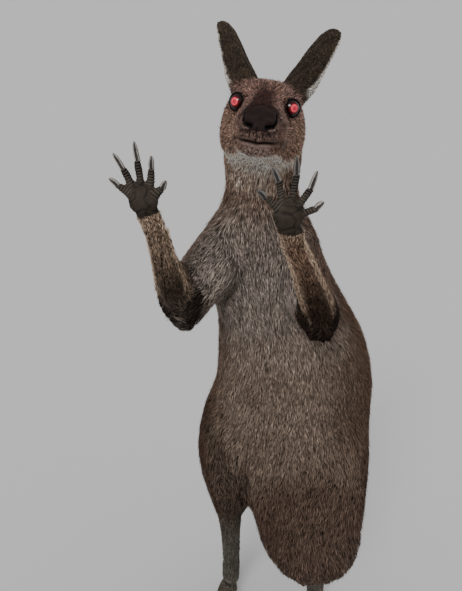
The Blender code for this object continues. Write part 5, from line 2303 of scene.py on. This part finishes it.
def noise(tree: NodeTree, scale: float, detail: float, place: NodeSocket) -> NodeSocket:
    """The output of a noise over places."""
    settings = {"Scale": scale, "Detail": detail}
    return add(tree, "ShaderNodeTexNoise", settings, {"Vector": place}).outputs["Fac"]


def blended(tree: NodeTree, share: NodeSocket, first: NodeSocket, second: NodeSocket) -> NodeSocket:
    """The output that goes from one value to another by a share."""
    return add(tree, "ShaderNodeMix", {}, {"Factor": share, "A": first, "B": second}).outputs["Result"]


def brightened(tree: NodeTree, colour: NodeSocket, amount: NodeSocket) -> NodeSocket:
    """The output of a colour times a number."""
    return add(tree, "ShaderNodeVectorMath", {"operation": "SCALE"}, {0: colour, 3: amount}).outputs["Vector"]


def bump(tree: NodeTree, height: NodeSocket, strength: float, deep: float) -> NodeSocket:
    """The normals' output of a relief that is only shaded."""
    settings = {"Strength": strength, "Distance": deep}
    return add(tree, "ShaderNodeBump", settings, {"Height": height}).outputs["Normal"]


def stepped(tree: NodeTree, value: NodeSocket, stops: Sequence[tuple[float, str]]) -> NodeSocket:
    """The output of a colour ramp.

    Args:
        tree: the material's tree.
        value: the value that picks the colour.
        stops: each stop's place and hex colour.

    Returns:
        The ramp's colour.
    """
    node = add(tree, "ShaderNodeValToRGB", {}, {"Fac": value})
    elements = node.color_ramp.elements
    while len(elements) > 1:
        elements.remove(elements[-1])
    for k, (place, code) in enumerate(stops):
        stop = elements[0] if k == 0 else elements.new(place)
        stop.position = place
        stop.color = (*linear(code), 1.0)
    return node.outputs["Color"]


@dataclass(frozen=True)
class Finish:
    """A material's name and the plain numbers of its shader."""

    name: str
    roughness: float
    specular: float = 0.5
    coat: float = 0.0

    def start(self) -> tuple[Material, NodeTree, Node]:
        """The material, its tree and its Principled shader.

        Returns:
            The material, its tree and its shader.
        """
        material = bpy.data.materials.new(self.name)
        material.use_nodes = True
        tree = material.node_tree
        shader = tree.nodes["Principled BSDF"]
        shader.inputs["Roughness"].default_value = self.roughness
        shader.inputs["Specular IOR Level"].default_value = self.specular
        shader.inputs["Coat Weight"].default_value = self.coat
        shader.inputs["Coat Roughness"].default_value = 0.03
        return material, tree, shader

    def make(self) -> Material:
        """The material, with its looks linked to the shader's sockets.

        Returns:
            The material.
        """
        material, tree, shader = self.start()
        for name, output in self.looks(tree).items():
            tree.links.new(output, shader.inputs[name])
        return material

    def looks(self, tree: NodeTree) -> dict[str, NodeSocket]:
        """The outputs that feed the shader, by the names of its sockets. A plain finish has none."""
        return {}


@dataclass(frozen=True)
class Hide(Finish):
    """Furred skin: fine hairs lying one way, and grained black leather where it is bare."""

    hair: float = 0.55 * MM
    grain: float = 1.3 * MM
    grime: float = 9.0 * MM
    leather: float = 0.62

    @staticmethod
    def crests_tint_and_highlight(tree: NodeTree) -> NodeSocket:
        """How pale a digit's rings are: the upper part of a sine of the ring count, on the tops of the rings'
        relief, partly the skin's own grey and partly a painted highlight.

        Args:
            tree: the material's tree.

        Returns:
            A share for each place.
        """
        angle = arithmetic(tree, "MULTIPLY", read(tree, "Ring"), 2.0 * math.pi)
        top = spread(tree, arithmetic(tree, "SINE", angle), 0.0, 0.42, start=-0.1)
        return arithmetic(tree, "MULTIPLY", top, read(tree, "Ringed"))

    def looks(self, tree: NodeTree) -> dict[str, NodeSocket]:
        """Streaks drawn out along the hair's way for the fur, and small pebbles for the leather.

        Args:
            tree: the material's tree.

        Returns:
            The outputs, by the names of the sockets that they feed.
        """
        bare = read(tree, "Bare")
        place = add(tree, "ShaderNodeTexCoord").outputs["Object"]
        hairs = noise(tree, 0.35 / self.hair, 3.0, read(tree, "Lie", "Vector"))
        grime = noise(tree, 1.0 / self.grime, 4.0, place)
        pebbles = add(tree, "ShaderNodeTexVoronoi", {"Scale": 1.0 / self.grain}, {"Vector": place})
        tone = blended(tree, bare, spread(tree, hairs, 0.30, 1.45), spread(tree, grime, 0.60, 1.55))
        shown = brightened(tree, read(tree, "Coat", "Color"), tone)
        # The ring tops' paler grey: partly the skin's own tone and partly a painted highlight.
        crest = {"data_type": "RGBA", 7: (*linear("#5f5852"), 1.0)}
        ringed = add(tree, "ShaderNodeMix", crest, {0: self.crests_tint_and_highlight(tree), 6: shown})
        relief = blended(tree, bare, hairs, pebbles.outputs["Distance"])
        return {
            "Base Color": ringed.outputs[2],
            "Normal": bump(tree, relief, 0.6, 0.35 * MM),
            "Roughness": spread(tree, bare, self.roughness, self.leather),
        }


@dataclass(frozen=True)
class Hair(Finish):
    """Tufts of guard hairs: each tuft's colour, split into finer hairs by streaks along it."""

    def looks(self, tree: NodeTree) -> dict[str, NodeSocket]:
        """Noise squeezed across each tuft, so that one tuft reads as several hairs.

        Args:
            tree: the material's tree.

        Returns:
            The outputs, by the names of the sockets that they feed.
        """
        strand = add(tree, "ShaderNodeUVMap", {"uv_map": "Strand"})
        squeeze = add(tree, "ShaderNodeMapping", {"Scale": (7.0, 0.8, 1.0)}, {"Vector": strand.outputs["UV"]})
        hairs = noise(tree, 1.0, 2.0, squeeze.outputs["Vector"])
        streak = spread(tree, hairs, 0.35, 1.65)
        return {"Base Color": brightened(tree, read(tree, "Coat", "Color"), streak)}


@dataclass(frozen=True)
class Iris(Finish):
    """A living eye under a clear wet cornea: painted red eyeshine in the pupil, a painted reflection from the
    back of the eye, brown iris, dark edge.
    """

    # The pupil's red is painted eyeshine: a painted reflection from the back of the eye.
    STOPS = (
        (0.000, "#b41c38"),
        (0.055, "#c42c44"),
        (0.090, "#e85560"),
        (0.112, "#dd4650"),
        (0.126, "#b3202c"),
        (0.134, "#560a11"),
        (0.180, "#33070b"),
        (0.230, "#190405"),
        (0.270, "#080303"),
        (1.000, "#080404"),
    )

    def looks(self, tree: NodeTree) -> dict[str, NodeSocket]:
        """Colours by the angle from the way the eye looks, as a share of half a turn."""
        share = arithmetic(tree, "DIVIDE", read(tree, "Look"), math.pi)
        return {"Base Color": stepped(tree, share, self.STOPS)}


@dataclass(frozen=True)
class Horn(Finish):
    """Claw horn: black-brown above, and cloudy beneath, with a pale band on the underside's flanks that is
    partly the horn's own paler tone and partly a painted highlight.
    """

    # The pale band from 0.74 to 0.85: partly the horn's own paler underside and partly a painted highlight.
    STOPS = (
        (0.00, "#17120f"),
        (0.52, "#1c1613"),
        (0.64, "#4a433e"),
        (0.74, "#a39b94"),
        (0.85, "#a39b94"),
        (0.92, "#3c3530"),
        (0.97, "#1b1613"),
    )
    cloud: float = 2.2 * MM

    def looks(self, tree: NodeTree) -> dict[str, NodeSocket]:
        """A colour from top to underside, darker on some claws, with clouds of noise.

        Args:
            tree: the material's tree.

        Returns:
            The outputs, by the names of the sockets that they feed.
        """
        place = add(tree, "ShaderNodeTexCoord").outputs["Object"]
        cloudy = noise(tree, 1.0 / self.cloud, 3.0, place)
        drift = {"operation": "MULTIPLY_ADD", 1: 0.20}
        blend = add(tree, "ShaderNodeMath", drift, {0: cloudy, 2: read(tree, "Under")})
        shifted = arithmetic(tree, "SUBTRACT", blend.outputs["Value"], 0.10)
        level = spread(tree, read(tree, "Pale"), 0.16, 1.0)
        return {"Base Color": brightened(tree, stepped(tree, shifted, self.STOPS), level)}


@dataclass(frozen=True)
class Rim(Finish):
    """The lids' bare black-brown edge."""

    grain: float = 1.2 * MM

    def looks(self, tree: NodeTree) -> dict[str, NodeSocket]:
        """A dark skin with a fine wrinkled grain.

        Args:
            tree: the material's tree.

        Returns:
            The outputs, by the names of the sockets that they feed.
        """
        grain = noise(tree, 1.0 / self.grain, 4.0, add(tree, "ShaderNodeTexCoord").outputs["Object"])
        return {
            "Base Color": stepped(tree, grain, ((0.3, "#080605"), (0.7, "#150f0d"))),
            "Normal": bump(tree, grain, 0.5, 0.3 * MM),
        }


@dataclass(frozen=True)
class Sun:
    """A distant soft lamp: where it stands, seen from the animal, its strength and how wide it looks."""

    name: str
    place: tuple[float, float, float]
    strength: float
    wide: float


SUNS = (
    Sun("key", (-0.32, -1.0, 0.46), 2.8, math.radians(24.0)),
    Sun("back", (0.75, 0.90, 0.80), 0.7, math.radians(60.0)),
)


@dataclass
class Studio:
    """A plain pale floor, soft lights, and the camera low in front of the face."""

    head: HeadAxes
    reach: float = 90.0
    backdrop: float = 0.64
    lens: float = 29.24
    aside: float = -0.0325
    ahead: float = 0.6657
    height: float = 0.90
    pitch: float = math.radians(8.6)
    roll: float = math.radians(2.7)

    def build(self) -> None:
        """Makes the floor, the world, the lights and the camera."""
        self.floor()
        self.world()
        for sun in SUNS:
            self.lamp(sun)
        self.camera()

    def paleness(self) -> float:
        """The share of light the floor gives back, so that it looks just as bright as the backdrop.

        That is b / (b + the sum of e sin(h) / pi), with the backdrop's strength b and each lamp's
        strength e and height h.
        """
        lit = sum(sun.strength * unit(np.array(sun.place))[2] / math.pi for sun in SUNS)
        return self.backdrop / (self.backdrop + lit)

    def floor(self) -> None:
        """A wide flat floor at the soles' level."""
        corners = np.array([(-1.0, -1.0, 0.0), (1.0, -1.0, 0.0), (1.0, 1.0, 0.0), (-1.0, 1.0, 0.0)])
        thing = make_object("floor", corners * self.reach, np.array([(0, 1, 2, 3)]), smooth=False)
        material, _, shader = Finish("matt paper, pale grey", 1.0, 0.0).start()
        shader.inputs["Base Color"].default_value = (*[self.paleness()] * 3, 1.0)
        thing.data.materials.append(material)

    def world(self) -> None:
        """An even pale light from all round."""
        world = bpy.data.worlds.new("studio")
        world.use_nodes = True
        back = world.node_tree.nodes["Background"]
        back.inputs["Color"].default_value = (1.0, 1.0, 1.0, 1.0)
        back.inputs["Strength"].default_value = self.backdrop
        bpy.context.scene.world = world

    def lamp(self, sun: Sun) -> None:
        """A soft lamp far off, turned to the animal.

        Args:
            sun: what it is like.
        """
        data = bpy.data.lights.new(sun.name, "SUN")
        data.energy = sun.strength
        data.angle = sun.wide
        lamp = bpy.data.objects.new(sun.name, data)
        lamp.location = Vector(sun.place) * 3.0
        lamp.rotation_euler = (-Vector(sun.place)).to_track_quat("-Z", "Y").to_euler()
        bpy.context.scene.collection.objects.link(lamp)

    def camera(self) -> None:
        """The camera two thirds of a metre in front of the eyes, a little low and looking slightly down."""
        data = bpy.data.cameras.new("camera")
        data.lens = self.lens
        data.sensor_width = 36.0
        data.clip_start = 0.01
        camera = bpy.data.objects.new("camera", data)
        look = Vector((0.0, math.cos(self.pitch), -math.sin(self.pitch)))
        rise = Vector((0.0, math.sin(self.pitch), math.cos(self.pitch)))
        right = Vector((1.0, 0.0, 0.0))
        turned = right * math.cos(self.roll) + rise * math.sin(self.roll)
        top = rise * math.cos(self.roll) - right * math.sin(self.roll)
        matrix = Matrix((turned, top, -look)).transposed().to_4x4()
        middle = Vector(self.head.middle)
        matrix.translation = Vector((middle.x + self.aside, middle.y - self.ahead, self.height))
        camera.matrix_world = matrix
        bpy.context.scene.collection.objects.link(camera)
        bpy.context.scene.camera = camera


def claw_pale(side: str, digit: str) -> float:
    """How pale a hand's claw is underneath: the left hand's inner three are nearly black."""
    return 0.25 if side == "left" and digit in HAND_DIGITS[:3] else 1.0


def main() -> None:
    """Builds the kangaroo piece by piece, then the studio, and reports each piece."""
    logging.basicConfig(level=logging.INFO, format="%(asctime)s %(message)s", datefmt="%H:%M:%S")
    hide = Hide("short fur over hide, bare leather on palms and nose", 0.85, 0.08).make()
    hair = Hair("guard hair, grey-brown kangaroo", 0.70, 0.13).make()
    iris = Iris("wet eye, brown iris", 0.10, 0.12, coat=0.30).make()
    horn = Horn("claw horn", 0.38, 0.5).make()
    rim = Rim("bare lid skin", 0.55, 0.05).make()
    skeleton = Skeleton()
    head = HeadAxes()
    places = Places(skeleton, head)
    openings = eye_openings(head)
    markings = Markings(places, openings)
    skin = Skin(skeleton, places, markings, Face(places, openings))
    skin.build()
    skin.dress(hide)
    Coat(skin, places, markings).build(hair)
    Feelers(skin, head, openings).build(hair)
    for side in SIDES:
        Eye(side, openings[side]).build(iris, rim)
        wrist = skeleton.of(bone_of("hand", side)).path[0]
        heel = skeleton.of(bone_of("foot", side)).path[0]
        for digit in HAND_DIGITS:
            node = f"claw_hand_{side}_{digit}"
            pale = claw_pale(side, digit)
            Claw(node, skeleton.solids[node], wrist, places.palm[side], pale).build(horn)
        for digit in FOOT_DIGITS:
            node = f"claw_foot_{side}_{digit}"
            Claw(node, skeleton.solids[node], heel, -UP).build(horn)
    Studio(head).build()


if __name__ == "__main__":
    main()
